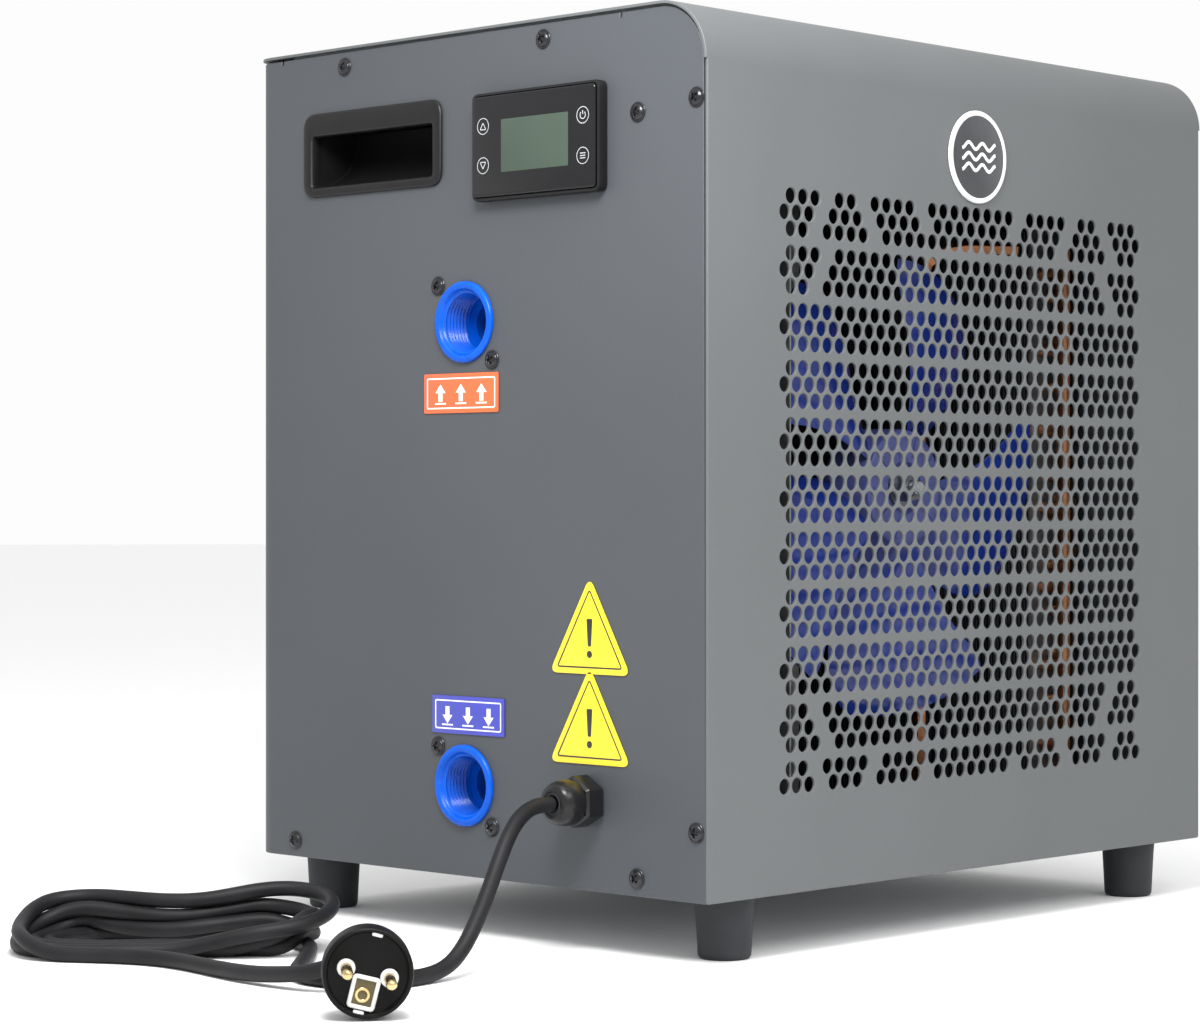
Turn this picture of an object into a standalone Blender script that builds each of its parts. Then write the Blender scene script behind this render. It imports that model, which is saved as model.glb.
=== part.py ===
"""Small swimming-pool heat pump: a sheet-metal case on rubber feet, with the fan,
coil, exchanger and compressor that it holds, its two water unions, its carrying
handles, its control panel and its mains lead.

+Z is up, the service side faces -Y and the fan grille faces +X.  Sizes are in
millimetres here and are turned into metres as the meshes are made.
"""
import math

import bmesh
import bpy
from mathutils import Matrix, Vector

MM = 0.001
GAP = 0.3                       # air left between two touching pieces

# ---- case -------------------------------------------------------------------
CASE_WIDTH = 330.0              # along X, rear grille to fan grille
CASE_DEPTH = 415.0              # along Y, service side to far side
HALF_W = CASE_WIDTH / 2
HALF_D = CASE_DEPTH / 2
CASE_BOTTOM = 30.9              # underside of the case above the floor
CASE_TOP = 460.3                # top of the cover above the floor
SHEET = 1.0                     # steel sheet
COVER_SHEET = 1.4
COVER_ARC = 30.0                # outer radius where the cover rolls over
COVER_OVERHANG = 1.2            # top plate stands past the side panels
COVER_FLANGE = 13.0             # inward flanges at the cover's two ends
SHADOW_GAP = 1.4                # dark line between a side panel and the cover
PANEL_CORNER = 14.0             # radius of the service panel's rounded upright
PANEL_RETURN = 30.0             # how far that panel wraps round to the rear
BASE_RIM = 16.0                 # upturned rim of the base pan

# ---- fan grille -------------------------------------------------------------
GRILLE_CENTRE_Y = -3.0
GRILLE_TOP_ROW = 369.4
HOLE_PITCH = 9.29               # hole to hole along a row
ROW_PITCH = 8.05
BAND_PITCH = 27.84              # one band of three rows to the next
ROW_SLOT_HEIGHT = 5.2
HOLE_COLUMNS = 32
GRILLE_BANDS = 11

# ---- fan --------------------------------------------------------------------
FAN_AXIS_Y = -3.0
FAN_AXIS_Z = 228.0
FAN_RADIUS = 121.0
FAN_BLADES = 5
FAN_HUB_RADIUS = 31.0
FAN_HUB_BACK = 92.0             # x of the hub's back face
FAN_HUB_LENGTH = 30.0
SHAFT_RADIUS = 4.0
NUT_FLATS = 13.0
MOTOR_RADIUS = 44.0
MOTOR_BACK = 22.0
MOTOR_LENGTH = 62.0

# ---- water unions -----------------------------------------------------------
UNION_X = -0.2
OUTLET_Z = 311.9
INLET_Z = 76.9
UNION_OUTER_RADIUS = 20.8
UNION_BORE_RADIUS = 15.0
UNION_PROUD = 2.6
UNION_LENGTH = 27.0
PORT_SCREW_OFFSET = UNION_OUTER_RADIUS - 1.1    # two screws, diagonally about each union

# ---- control panel, handles, gland ------------------------------------------
CONTROL_X = 55.5
CONTROL_Z = 398.6
CONTROL_WIDTH = 89.0
CONTROL_HEIGHT = 54.2
CONTROL_PROUD = 7.5
HANDLE_X = -69.7
HANDLE_Z = 404.5
HANDLE_WIDTH = 106.5
HANDLE_HEIGHT = 44.4
HANDLE_DEPTH = 33.0
CUP_MARGIN = 6.65               # from the bezel's edge in to the side of the cup
HANDLE_PROUD = 2.2
GLAND_X = 86.5
GLAND_Z = 75.0
GLAND_FLATS = 22.5
GLAND_PROUD = 25.5

# ---- screws, feet -----------------------------------------------------------
SCREW_HEAD_RADIUS = 4.9
SCREW_HEAD_HEIGHT = 2.6
SCREW_SHANK_RADIUS = 1.9
SCREW_LENGTH = 8.0
FOOT_TOP_RADIUS = 14.6
FOOT_BOTTOM_RADIUS = 12.4
FOOT_X = 142.6
FOOT_Y = 170.5

# ---- air intakes ------------------------------------------------------------
SLOT_PITCH = 24.0               # slot to slot, downwards
SLOT_HEIGHT = 10.0
SLOT_RADIUS = 4.9
FAR_SLOTS = 11
FAR_SLOT_X = -30.0
FAR_SLOT_TOP = 340.0
FAR_SLOT_WIDTH = 190.0
REAR_SLOTS = 13
REAR_SLOT_Y = (-3.0, 121.0)
REAR_SLOT_TOP = 370.0
REAR_SLOT_WIDTH = 112.0
NOTCH_X = (-142.0, 108.6)       # relief notches in a side panel's top edge
NOTCH_WIDTH = 1.6
NOTCH_DEPTH = 2.6

# ---- inside -----------------------------------------------------------------
PAN_WALL = 1.5
DRAIN_PLACE = (-60.0, 60.0)
DRAIN_RADIUS = 9.0
BASE_TOP = CASE_BOTTOM + PAN_WALL + GAP     # where the inner pieces stand
BRACKET_TOP = 430.0
BRACKET_HALF = 34.0
BRACKET_WINDOWS = (110.0, 350.0)
EXCHANGER_RADIUS = 36.0
EXCHANGER_TOP = 344.0
EXCHANGER_SETBACK = 38.0        # its axis behind the end of the unions
EXCHANGER_WAY = 11.0            # radius of its bores
COIL_TOP = 376.0
COIL_TUBE_PITCH = 45.0
COMPRESSOR_PLACE = (-104.0, -142.0)
COMPRESSOR_RADIUS = 44.0
COMPRESSOR_TOP = 232.0
BOTTLE_PLACE = (-50.0, -116.0)
PARTITION_TOP = 350.0
PARTITION_SHEET = 1.0
ELECTRICAL_BOX = ((4.0, -197.0, 352.0), (130.0, -100.0, 438.0))

# ---- badge and labels -------------------------------------------------------
LABEL_THICKNESS = 0.35
TRIANGLE_X = 88.0
TRIANGLE_HALF = 24.7
TRIANGLE_RISE = 43.0
TRIANGLE_RADIUS = 3.0
BADGE_PROUD = 2.0
BADGE_Y = 0.6
BADGE_Z = 399.3
BADGE_RADIUS = 24.0

# ---- mains lead -------------------------------------------------------------
CORD_DIAMETER = 7.6
CORD_SIDES = 3                  # bevel resolution of the lead's round section
CORD_STEP = 15.0                # distance between the points along the lead
FLOOR_REST = 4.0                # height of the lead's middle when it lies down
HANK_CENTRE = (-71.4, -HALF_D - 129.9)
HANK_LENGTH = 168.0
HANK_WIDTH = 120.0
HANK_HEIGHT = 36.0
HANK_TURN = math.radians(43.84)
PLUG_FACE = (159.1, -HALF_D - 209.5, 20.4)
PLUG_DIRECTION = (0.7706, -0.6376, 0.0)
PLUG_RADIUS = 19.6
PLUG_LENGTH = 43.6
PLUG_ROLL = math.radians(-14.0)
PIN_SPACING = 19.0
PIN_RADIUS = 2.4
PIN_LENGTH = 19.0

SIDE_TOP = CASE_TOP - COVER_SHEET - SHADOW_GAP
# the model's origin is the middle of its box on the floor
ORIGIN_X = BADGE_PROUD / 2
ORIGIN_Y = (SCREW_HEAD_HEIGHT - GLAND_PROUD) / 2

SERVICE_SCREWS = [(-91.8, 449.8), (55.8, 449.8), (120.0, 408.3), (158.0, 412.2),
                  (157.9, 64.3), (119.3, 39.5), (-131.4, 39.5)]
FAR_SCREWS = [(-131.4, 449.8), (131.4, 449.8), (-131.4, 39.5), (131.4, 39.5)]

# the lead's points: x, y measured out from the service side, z above the floor
LEAD_ROUTE = [(GLAND_X, -GLAND_PROUD - GAP, GLAND_Z), (86.8, -38.0, 74.3), (88.5, -49.0, 70.0),
              (91.0, -59.0, 62.0), (93.5, -68.0, 51.0), (95.0, -76.0, 38.5),
              (96.0, -84.0, 26.5), (97.2, -93.5, 15.0), (98.7, -105.0, 7.2),
              (99.8, -119.5, FLOOR_REST), (99.4, -136.7, FLOOR_REST),
              (90.7, -151.1, FLOOR_REST), (75.9, -159.2, FLOOR_REST),
              (59.1, -158.8, FLOOR_REST), (44.7, -150.2, FLOOR_REST),
              (32.6, -137.6, FLOOR_REST), (20.5, -125.0, FLOOR_REST)]
TAIL_ROUTE = [(-6.9, -151.3, FLOOR_REST), (7.0, -165.8, FLOOR_REST),
              (22.0, -180.5, FLOOR_REST), (42.0, -187.0, 4.4), (61.0, -182.0, 5.6),
              (77.0, -173.5, 8.6), (91.5, -168.0, 13.0), (104.5, -167.1, 17.4),
              (115.9, -173.7, 20.2), (125.26, -181.51, 20.4)]

SILVER = (0.62, 0.63, 0.64)
MATERIALS = {
    "case_grey": ((0.235, 0.25, 0.265), 0.55, 0.0),
    "cover_grey": ((0.27, 0.28, 0.285), 0.55, 0.0),
    "union_blue": ((0.0, 0.16, 0.80), 0.3, 0.0),
    "black_plastic": ((0.022, 0.022, 0.024), 0.45, 0.0),
    "black_glass": ((0.01, 0.011, 0.013), 0.08, 0.0),
    "black_screw": ((0.03, 0.03, 0.032), 0.25, 0.9),
    "foot_rubber": ((0.04, 0.042, 0.045), 0.8, 0.0),
    "cord_rubber": ((0.05, 0.05, 0.052), 0.6, 0.0),
    "orange_label": ((0.9, 0.22, 0.06), 0.5, 0.0),
    "violet_label": ((0.05, 0.04, 0.55), 0.5, 0.0),
    "yellow_label": ((0.95, 0.72, 0.03), 0.5, 0.0),
    "badge_dark": ((0.05, 0.055, 0.06), 0.3, 0.0),
    "fan_blue": ((0.005, 0.012, 0.16), 0.25, 0.0),
    "bright_steel": (SILVER, 0.3, 1.0),
    "galvanised": ((0.4, 0.41, 0.42), 0.45, 0.9),
    "copper": ((0.72, 0.28, 0.12), 0.35, 1.0),
    "fin_black": ((0.02, 0.021, 0.024), 0.5, 0.3),
    "tank_white": ((0.62, 0.62, 0.6), 0.5, 0.0),
    "compressor_black": ((0.015, 0.015, 0.017), 0.4, 0.0),
}

parts = bpy.data.collections.new("pool_heat_pump")
cutters = bpy.data.collections.new("cutters")


# ---- small modelling tools --------------------------------------------------
def clear_scene():
    """Empty the scene and link the two collections."""
    for item in list(bpy.data.objects):
        bpy.data.objects.remove(item, do_unlink=True)
    bpy.context.scene.collection.children.link(parts)
    bpy.context.scene.collection.children.link(cutters)


def material(name):
    """A Principled material from the table above."""
    found = bpy.data.materials.get(name)
    if found:
        return found
    colour, roughness, metallic = MATERIALS[name]
    made = bpy.data.materials.new(name)
    made.use_nodes = True
    shader = made.node_tree.nodes["Principled BSDF"]
    shader.inputs["Base Color"].default_value = (*colour, 1.0)
    shader.inputs["Roughness"].default_value = roughness
    shader.inputs["Metallic"].default_value = metallic
    made.diffuse_color = (*colour, 1.0)
    return made


def add_object(name, mesh, look, smooth_angle=None):
    """Put a mesh in the parts collection, or among the cutters if it has no look."""
    item = bpy.data.objects.new(name, mesh)
    if look is None:
        cutters.objects.link(item)
        item.hide_render = True
        item.display_type = "WIRE"
        return item
    parts.objects.link(item)
    mesh.materials.append(material(look))
    if smooth_angle is not None:
        mesh.shade_smooth()
        mesh.set_sharp_from_angle(angle=math.radians(smooth_angle))
    return item


def mesh_from(shape, name):
    """Turn a bmesh in millimetres into a mesh in metres with outward faces."""
    bmesh.ops.recalc_face_normals(shape, faces=shape.faces)
    bmesh.ops.scale(shape, vec=(MM, MM, MM), verts=shape.verts)
    mesh = bpy.data.meshes.new(name)
    shape.to_mesh(mesh)
    shape.free()
    return mesh


TO_WORLD = {
    "X": Matrix(((0, 0, 1), (1, 0, 0), (0, 1, 0))),     # outline (y, z), pulled along X
    "Y": Matrix(((1, 0, 0), (0, 0, -1), (0, 1, 0))),    # outline (x, z), pulled along -Y
    "Z": Matrix(((1, 0, 0), (0, 1, 0), (0, 0, 1))),     # outline (x, y), pulled along Z
}


def prism_shape(outline, low, high, axis):
    """A flat outline pulled from low to high along an axis."""
    shape = bmesh.new()
    rows = [shape.verts.new((u, v, 0.0)) for u, v in outline]
    face = shape.faces.new(rows)
    pulled = bmesh.ops.extrude_face_region(shape, geom=[face])
    moved = [item for item in pulled["geom"] if isinstance(item, bmesh.types.BMVert)]
    bmesh.ops.translate(shape, verts=moved, vec=(0, 0, high - low))
    start = -high if axis == "Y" else low
    bmesh.ops.translate(shape, verts=shape.verts, vec=(0, 0, start))
    bmesh.ops.transform(shape, matrix=TO_WORLD[axis].to_4x4(), verts=shape.verts)
    return shape


def prism(name, outline, low, high, axis, look=None, smooth_angle=None):
    """An object made by pulling a flat outline from low to high along an axis."""
    return add_object(name, mesh_from(prism_shape(outline, low, high, axis), name),
                      look, smooth_angle)


def turned(name, profile, centre, axis, look=None, sides=32, smooth_angle=35):
    """A profile of (radius, height) pairs turned about an axis through centre."""
    shape = bmesh.new()
    rows = [shape.verts.new((radius, 0.0, height)) for radius, height in profile]
    edges = []
    for i, start in enumerate(rows):
        end = rows[(i + 1) % len(rows)]
        if start.co.x > 0 or end.co.x > 0:              # an edge on the axis sweeps nothing
            edges.append(shape.edges.new((start, end)))
    bmesh.ops.spin(shape, geom=rows + edges, axis=(0, 0, 1), cent=(0, 0, 0),
                   steps=sides, angle=math.tau, use_merge=True)
    bmesh.ops.remove_doubles(shape, verts=shape.verts, dist=0.001)
    direction = Vector(axis).normalized()
    turn = Vector((0, 0, 1)).rotation_difference(direction).to_matrix().to_4x4()
    bmesh.ops.transform(shape, matrix=Matrix.Translation(centre) @ turn, verts=shape.verts)
    return add_object(name, mesh_from(shape, name), look, smooth_angle)


def box(name, low, high, look=None):
    """A plain block between two corners."""
    outline = [(low[0], low[1]), (high[0], low[1]), (high[0], high[1]), (low[0], high[1])]
    return prism(name, outline, low[2], high[2], "Z", look)


def boolean(target, tool, operation="DIFFERENCE"):
    """Cut or join one object with another and keep the result as a plain mesh."""
    change = target.modifiers.new(operation.lower(), "BOOLEAN")
    change.operation = operation
    change.solver = "EXACT"
    change.object = tool
    graph = bpy.context.evaluated_depsgraph_get()
    result = bpy.data.meshes.new_from_object(target.evaluated_get(graph))
    target.modifiers.clear()
    target.data = result
    bpy.data.objects.remove(tool, do_unlink=True)


def arc(centre, radius, start, end, steps):
    """Points along an arc, angles in degrees."""
    points = []
    for i in range(steps + 1):
        angle = math.radians(start + (end - start) * i / steps)
        points.append((centre[0] + radius * math.cos(angle),
                       centre[1] + radius * math.sin(angle)))
    return points


def rounded_rectangle(centre, width, height, radius, steps=4):
    """An outline with four round corners."""
    half_w = width / 2 - radius
    half_h = height / 2 - radius
    points = []
    for sx, sy, start in ((1, 1, 0), (-1, 1, 90), (-1, -1, 180), (1, -1, 270)):
        corner = (centre[0] + sx * half_w, centre[1] + sy * half_h)
        points += arc(corner, radius, start, start + 90, steps)
    return points


def circle(centre, radius, sides=24):
    """A round outline."""
    return arc(centre, radius, 0, 360 - 360 / sides, sides - 1)


def hexagon(centre, flats, start=0.0):
    """A six-sided outline from its size across flats."""
    return arc(centre, flats / math.sqrt(3), start, start + 300, 5)


def screw(name, x, z, side):
    """A pan-head screw in a side panel: side -1 is the service side, 1 the far side."""
    head = SCREW_HEAD_RADIUS
    profile = [(0, SCREW_HEAD_HEIGHT), (head * 0.6, SCREW_HEAD_HEIGHT * 0.84), (head, 0.9),
               (head, GAP), (SCREW_SHANK_RADIUS, GAP), (SCREW_SHANK_RADIUS, -SCREW_LENGTH),
               (0, -SCREW_LENGTH)]
    return turned(name, profile, (x, side * HALF_D, z), (0, side, 0), "black_screw", 12)


def side_outline(left, right, bottom, top):
    """A side panel's outline with the roll of the cover at its upper front corner."""
    centre = (HALF_W - COVER_ARC, CASE_TOP - COVER_ARC)
    inner = COVER_ARC - COVER_SHEET - SHADOW_GAP
    roll = arc(centre, inner, 0, 90, 10)
    start = (min(right, roll[0][0]), centre[1])
    return [(left, bottom), (right, bottom), start] + roll[1:-1] + [(centre[0], top), (left, top)]


# ---- case -------------------------------------------------------------------
def make_cover():
    """Top plate, rolled corner and perforated front in one bent sheet."""
    centre = (HALF_W - COVER_ARC, CASE_TOP - COVER_ARC)
    inner_radius = COVER_ARC - COVER_SHEET
    outer = [(-HALF_W, CASE_TOP)]
    outer += reversed(arc(centre, COVER_ARC, 0, 90, 10))
    outer += [(HALF_W, CASE_BOTTOM)]
    inner = [(HALF_W - COVER_SHEET, CASE_BOTTOM)]
    inner += arc(centre, inner_radius, 0, 90, 10)
    inner += [(-HALF_W, CASE_TOP - COVER_SHEET)]
    cover = prism("cover", outer + inner, -HALF_D - COVER_OVERHANG,
                  HALF_D + COVER_OVERHANG, "Y", "cover_grey", 30)
    # the front stops level with the side panels; only the top plate stands past them
    for side in (-1, 1):
        edge = side * HALF_D
        past = edge + side * 5
        low, high = min(edge, past), max(edge, past)
        boolean(cover, box("trim", (HALF_W - 60, low, CASE_BOTTOM - 5),
                           (HALF_W + 5, high, CASE_TOP - COVER_ARC)))
    # inward flanges that the side panels are screwed to
    reach = COVER_ARC - COVER_SHEET / 2
    deep = inner_radius - COVER_FLANGE
    path_out = [(-HALF_W + 30, CASE_TOP - COVER_SHEET / 2)]
    path_out += reversed(arc(centre, reach, 0, 90, 8))
    path_out += [(HALF_W - COVER_SHEET / 2, CASE_BOTTOM + 25)]
    path_in = [(HALF_W - COVER_SHEET - COVER_FLANGE, CASE_BOTTOM + 25)]
    path_in += arc(centre, deep, 0, 90, 8)
    path_in += [(-HALF_W + 30, CASE_TOP - COVER_SHEET - COVER_FLANGE)]
    for side in (-1, 1):
        face = side * (HALF_D - SHEET - GAP)
        back = face - side * COVER_SHEET
        low, high = min(face, back), max(face, back)
        flange = prism("flange", path_out + path_in, low, high, "Y")
        boolean(cover, flange, "UNION")
    boolean(cover, make_grille_cutter())
    for side, places in ((-1, SERVICE_SCREWS[:2] + SERVICE_SCREWS[3:5]), (1, FAR_SCREWS[:2])):
        for x, z in places:
            hole = circle((x, z), SCREW_SHANK_RADIUS + GAP, 8)
            near = side * (HALF_D - SHEET - GAP)
            boolean(cover, prism("screw_hole", hole, near - 5, near + 5, "Y"))
    # round plan corner over the service panel's bent upright
    radius = PANEL_CORNER + COVER_OVERHANG
    x, y = -HALF_W, -HALF_D - COVER_OVERHANG
    corner = [(x - 5, y - 5), (x + radius, y - 5)]
    corner += reversed(arc((x + radius, y + radius), radius, 180, 270, 6))
    boolean(cover, prism("corner", corner + [(x - 5, y + radius)], CASE_TOP - 20,
                         CASE_TOP + 5, "Z"))
    return cover


def grille_runs(band):
    """First and last column of each slot, for the rows of one band, top row first."""
    last = HOLE_COLUMNS - 1
    full = [[(0, last)], [(-0.5, last + 0.5)], [(0, last)]]
    edge = [[(0, 2), (4, 5), (7, 10), (12, 19), (21, 24), (26, 27), (29, 31)],
            [(-0.5, 1.5), (3.5, 5.5), (7.5, 10.5), (12.5, 18.5), (20.5, 23.5),
             (25.5, 27.5), (29.5, 31.5)],
            [(0, 1), (3, 6), (8, 23), (25, 28), (30, 31)]]
    inner = [[(0, 2), (4, 27), (29, 31)], [(-0.5, 1.5), (3.5, 27.5), (29.5, 31.5)],
             [(0, 1), (3, 28), (30, 31)]]
    if band == 0:
        return edge
    if band == 1:
        return inner
    if band == GRILLE_BANDS - 2:
        return inner[::-1]
    if band == GRILLE_BANDS - 1:
        return edge[:0:-1]
    return full


def make_grille_cutter():
    """One flat bar per run of holes, all in one cutter."""
    shape = bmesh.new()
    middle = (HOLE_COLUMNS - 1) / 2
    half = ROW_SLOT_HEIGHT / 2
    for band in range(GRILLE_BANDS):
        for row, runs in enumerate(grille_runs(band)):
            z = GRILLE_TOP_ROW - band * BAND_PITCH - row * ROW_PITCH
            for first, last in runs:
                start = GRILLE_CENTRE_Y + (first - middle) * HOLE_PITCH - half
                end = GRILLE_CENTRE_Y + (last - middle) * HOLE_PITCH + half
                size = (8.0, end - start, ROW_SLOT_HEIGHT)
                place = Matrix.Translation((HALF_W, (start + end) / 2, z))
                scale = Matrix.Diagonal((*size, 1.0))
                bmesh.ops.create_cube(shape, size=1.0, matrix=place @ scale)
    return add_object("grille_cutter", mesh_from(shape, "grille_cutter"), None)


def cut_notches(panel, side):
    """Small relief notches where the panel's top edge was bent."""
    low = side * HALF_D - 3
    half = NOTCH_WIDTH / 2
    for x in NOTCH_X:
        boolean(panel, box("notch", (x - half, low, SIDE_TOP - NOTCH_DEPTH),
                           (x + half, low + 6, SIDE_TOP + 2)))


def make_service_panel():
    """The side with the unions; its rear upright is bent round a large radius."""
    outer_y = -HALF_D
    left = -HALF_W
    corner = (left + PANEL_CORNER, outer_y + PANEL_CORNER)
    plan = [(HALF_W - COVER_SHEET - GAP, outer_y)]
    plan += reversed(arc(corner, PANEL_CORNER, 180, 270, 8))
    plan += [(left, outer_y + PANEL_RETURN), (left + SHEET, outer_y + PANEL_RETURN)]
    plan += arc(corner, PANEL_CORNER - SHEET, 180, 270, 8)
    plan += [(HALF_W - COVER_SHEET - GAP, outer_y + SHEET)]
    panel = prism("service_panel", plan, CASE_BOTTOM, SIDE_TOP, "Z", "case_grey", 30)
    roll = side_outline(-HALF_W - 10, HALF_W, CASE_BOTTOM - 10, SIDE_TOP)
    keep = prism("keep", roll, outer_y - 5, outer_y + PANEL_RETURN + 5, "Y")
    boolean(panel, keep, "INTERSECT")
    low, high = outer_y - 5, outer_y + 5
    for z in (OUTLET_Z, INLET_Z):
        hole = circle((UNION_X, z), UNION_OUTER_RADIUS - 1.5, 32)
        boolean(panel, prism("port", hole, low, high, "Y"))
    boolean(panel, prism("gland_hole", circle((GLAND_X, GLAND_Z), 8.5), low, high, "Y"))
    boolean(panel, prism("handle_hole", handle_cut_outline(), low, high, "Y"))
    for x, z in SERVICE_SCREWS + union_screw_places():
        hole = circle((x, z), SCREW_SHANK_RADIUS + GAP, 8)
        boolean(panel, prism("screw_hole", hole, low, high, "Y"))
    cut_notches(panel, -1)
    return panel


def make_far_panel():
    """The opposite side: a handle, and an air intake over the coil's short leg."""
    low, high = HALF_D - 5, HALF_D + 5
    roll = side_outline(-HALF_W + SHEET + GAP, HALF_W - COVER_SHEET - GAP,
                        CASE_BOTTOM, SIDE_TOP)
    panel = prism("far_panel", roll, HALF_D - SHEET, HALF_D, "Y", "case_grey", 30)
    boolean(panel, prism("handle_hole", handle_cut_outline(), low, high, "Y"))
    for x, z in FAR_SCREWS:
        hole = circle((x, z), SCREW_SHANK_RADIUS + GAP, 8)
        boolean(panel, prism("screw_hole", hole, low, high, "Y"))
    for row in range(FAR_SLOTS):
        z = FAR_SLOT_TOP - row * SLOT_PITCH
        slot = rounded_rectangle((FAR_SLOT_X, z), FAR_SLOT_WIDTH, SLOT_HEIGHT, SLOT_RADIUS, 2)
        boolean(panel, prism("slot", slot, low, high, "Y"))
    return panel


def make_rear_grille():
    """The rear intake: a sheet with two columns of wide slots over the coil."""
    low = -HALF_D + PANEL_RETURN + GAP
    high = HALF_D - SHEET
    outline = [(low, CASE_BOTTOM), (high, CASE_BOTTOM), (high, SIDE_TOP), (low, SIDE_TOP)]
    panel = prism("rear_grille", outline, -HALF_W, -HALF_W + SHEET, "X", "case_grey")
    for row in range(REAR_SLOTS):
        z = REAR_SLOT_TOP - row * SLOT_PITCH
        for y in REAR_SLOT_Y:
            slot = rounded_rectangle((y, z), REAR_SLOT_WIDTH, SLOT_HEIGHT, SLOT_RADIUS, 2)
            boolean(panel, prism("slot", slot, -HALF_W - 5, -HALF_W + 5, "X"))
    return panel


def make_base_pan():
    """Shallow tray that carries the coil, compressor and feet, with a drain hole."""
    half_x = HALF_W - COVER_SHEET - GAP
    half_y = HALF_D - SHEET - GAP
    wall = PAN_WALL
    pan = prism("base_pan", rounded_rectangle((0, 0), 2 * half_x - 2, 2 * half_y, 13.0, 4),
                CASE_BOTTOM, CASE_BOTTOM + BASE_RIM, "Z", "galvanised", 30)
    hollow = rounded_rectangle((0, 0), 2 * (half_x - wall) - 2, 2 * (half_y - wall), 12.0, 4)
    boolean(pan, prism("hollow", hollow, CASE_BOTTOM + wall, CASE_BOTTOM + 40, "Z"))
    boolean(pan, prism("drain", circle(DRAIN_PLACE, DRAIN_RADIUS), 0, 60, "Z"))
    for sx in (-1, 1):
        for sy in (-1, 1):
            boolean(pan, prism("foot_hole", circle((sx * FOOT_X, sy * FOOT_Y), 3.3, 16),
                               0, 60, "Z"))
    for x, z in SERVICE_SCREWS[5:]:
        boolean(pan, prism("rim_hole", circle((x, z), SCREW_SHANK_RADIUS + GAP, 8),
                           -HALF_D - 5, -HALF_D + 5, "Y"))
    for x, z in FAR_SCREWS[2:]:
        boolean(pan, prism("rim_hole", circle((x, z), SCREW_SHANK_RADIUS + GAP, 8),
                           HALF_D - 5, HALF_D + 5, "Y"))
    return pan


def make_feet():
    """Four tapered rubber feet with a moulded stud and a recess underneath."""
    top = CASE_BOTTOM - GAP
    profile = [(0, top + 5.0), (3.0, top + 5.0), (3.0, top), (FOOT_TOP_RADIUS, top),
               (FOOT_TOP_RADIUS, top - 2), (FOOT_BOTTOM_RADIUS + 0.6, 1.0),
               (FOOT_BOTTOM_RADIUS, 0), (5.5, 0), (5.5, 12.0), (0, 12.0)]
    number = 1
    for sx in (-1, 1):
        for sy in (-1, 1):
            turned("foot_%d" % number, profile, (sx * FOOT_X, sy * FOOT_Y, 0), (0, 0, 1),
                   "foot_rubber", 20)
            number += 1


# ---- handles ----------------------------------------------------------------
def handle_cut_outline():
    """The hole in the sheet that the handle's cup goes through."""
    return rounded_rectangle((HANDLE_X, HANDLE_Z - 1.0), HANDLE_WIDTH - 8, HANDLE_HEIGHT - 6, 1.5)


def make_handle(name, side):
    """A moulded cup: a bezel on the sheet and a quarter-round finger hollow behind."""
    face = side * HALF_D
    bezel = rounded_rectangle((HANDLE_X, HANDLE_Z), HANDLE_WIDTH, HANDLE_HEIGHT, 8.5, 5)
    near, far = face + side * HANDLE_PROUD, face + side * GAP
    handle = prism(name, bezel, min(near, far), max(near, far), "Y", "black_plastic", 30)
    wall = 1.8
    low_x = HANDLE_X - HANDLE_WIDTH / 2 + CUP_MARGIN
    high_x = HANDLE_X + HANDLE_WIDTH / 2 - CUP_MARGIN
    mouth_low = HANDLE_Z - 17.0
    mouth_high = HANDLE_Z + 10.0
    ceiling = HANDLE_Z + 15.0

    def scoop(grow, front):
        """Section of the hollow, grown by a wall, as (y, z) points."""
        centre_z = ceiling + grow
        depth = HANDLE_DEPTH + grow
        height = centre_z - (mouth_low - grow)
        points = [(front, mouth_low - grow)]
        for i in range(9):
            angle = math.radians(90 * i / 8)
            points.append((face - side * depth * math.sin(angle),
                           centre_z - height * math.cos(angle)))
        return points + [(front, centre_z)]

    outer = prism("cup", scoop(wall, face + side * 1.2), low_x - wall, high_x + wall, "X")
    boolean(handle, outer, "UNION")
    inner = prism("hollow", scoop(0.0, face), low_x, high_x, "X")
    boolean(handle, inner)
    mouth = rounded_rectangle((HANDLE_X, (mouth_low + mouth_high) / 2),
                              high_x - low_x, mouth_high - mouth_low, 1.5, 2)
    a, b = face - side * 2.0, face + side * 6.0
    boolean(handle, prism("mouth", mouth, min(a, b), max(a, b), "Y"))
    return handle


# ---- control panel ----------------------------------------------------------
def make_control_panel():
    """A shallow bezel with a black glass front set in it."""
    face = -HALF_D
    shape = prism_shape(rounded_rectangle((CONTROL_X, CONTROL_Z), CONTROL_WIDTH,
                                          CONTROL_HEIGHT, 4.0, 4),
                        face - CONTROL_PROUD + 1.2, face - GAP, "Y")
    housing = add_object("control_housing", mesh_from(shape, "control_housing"),
                         "black_plastic", 30)
    glass_cut = rounded_rectangle((CONTROL_X, CONTROL_Z), CONTROL_WIDTH - 3.0,
                                  CONTROL_HEIGHT - 3.0, 2.8, 4)
    boolean(housing, prism("seat", glass_cut, face - 20, face - CONTROL_PROUD + 3.4, "Y"))
    boolean(housing, prism("cable_way", circle((CONTROL_X, CONTROL_Z), 6.0, 16),
                           face - 20, face + 5, "Y"))
    glass = rounded_rectangle((CONTROL_X, CONTROL_Z), CONTROL_WIDTH - 3.8,
                              CONTROL_HEIGHT - 3.8, 2.4, 4)
    prism("control_glass", glass, face - CONTROL_PROUD, face - CONTROL_PROUD + 3.1, "Y",
          "black_glass", 30)


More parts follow.
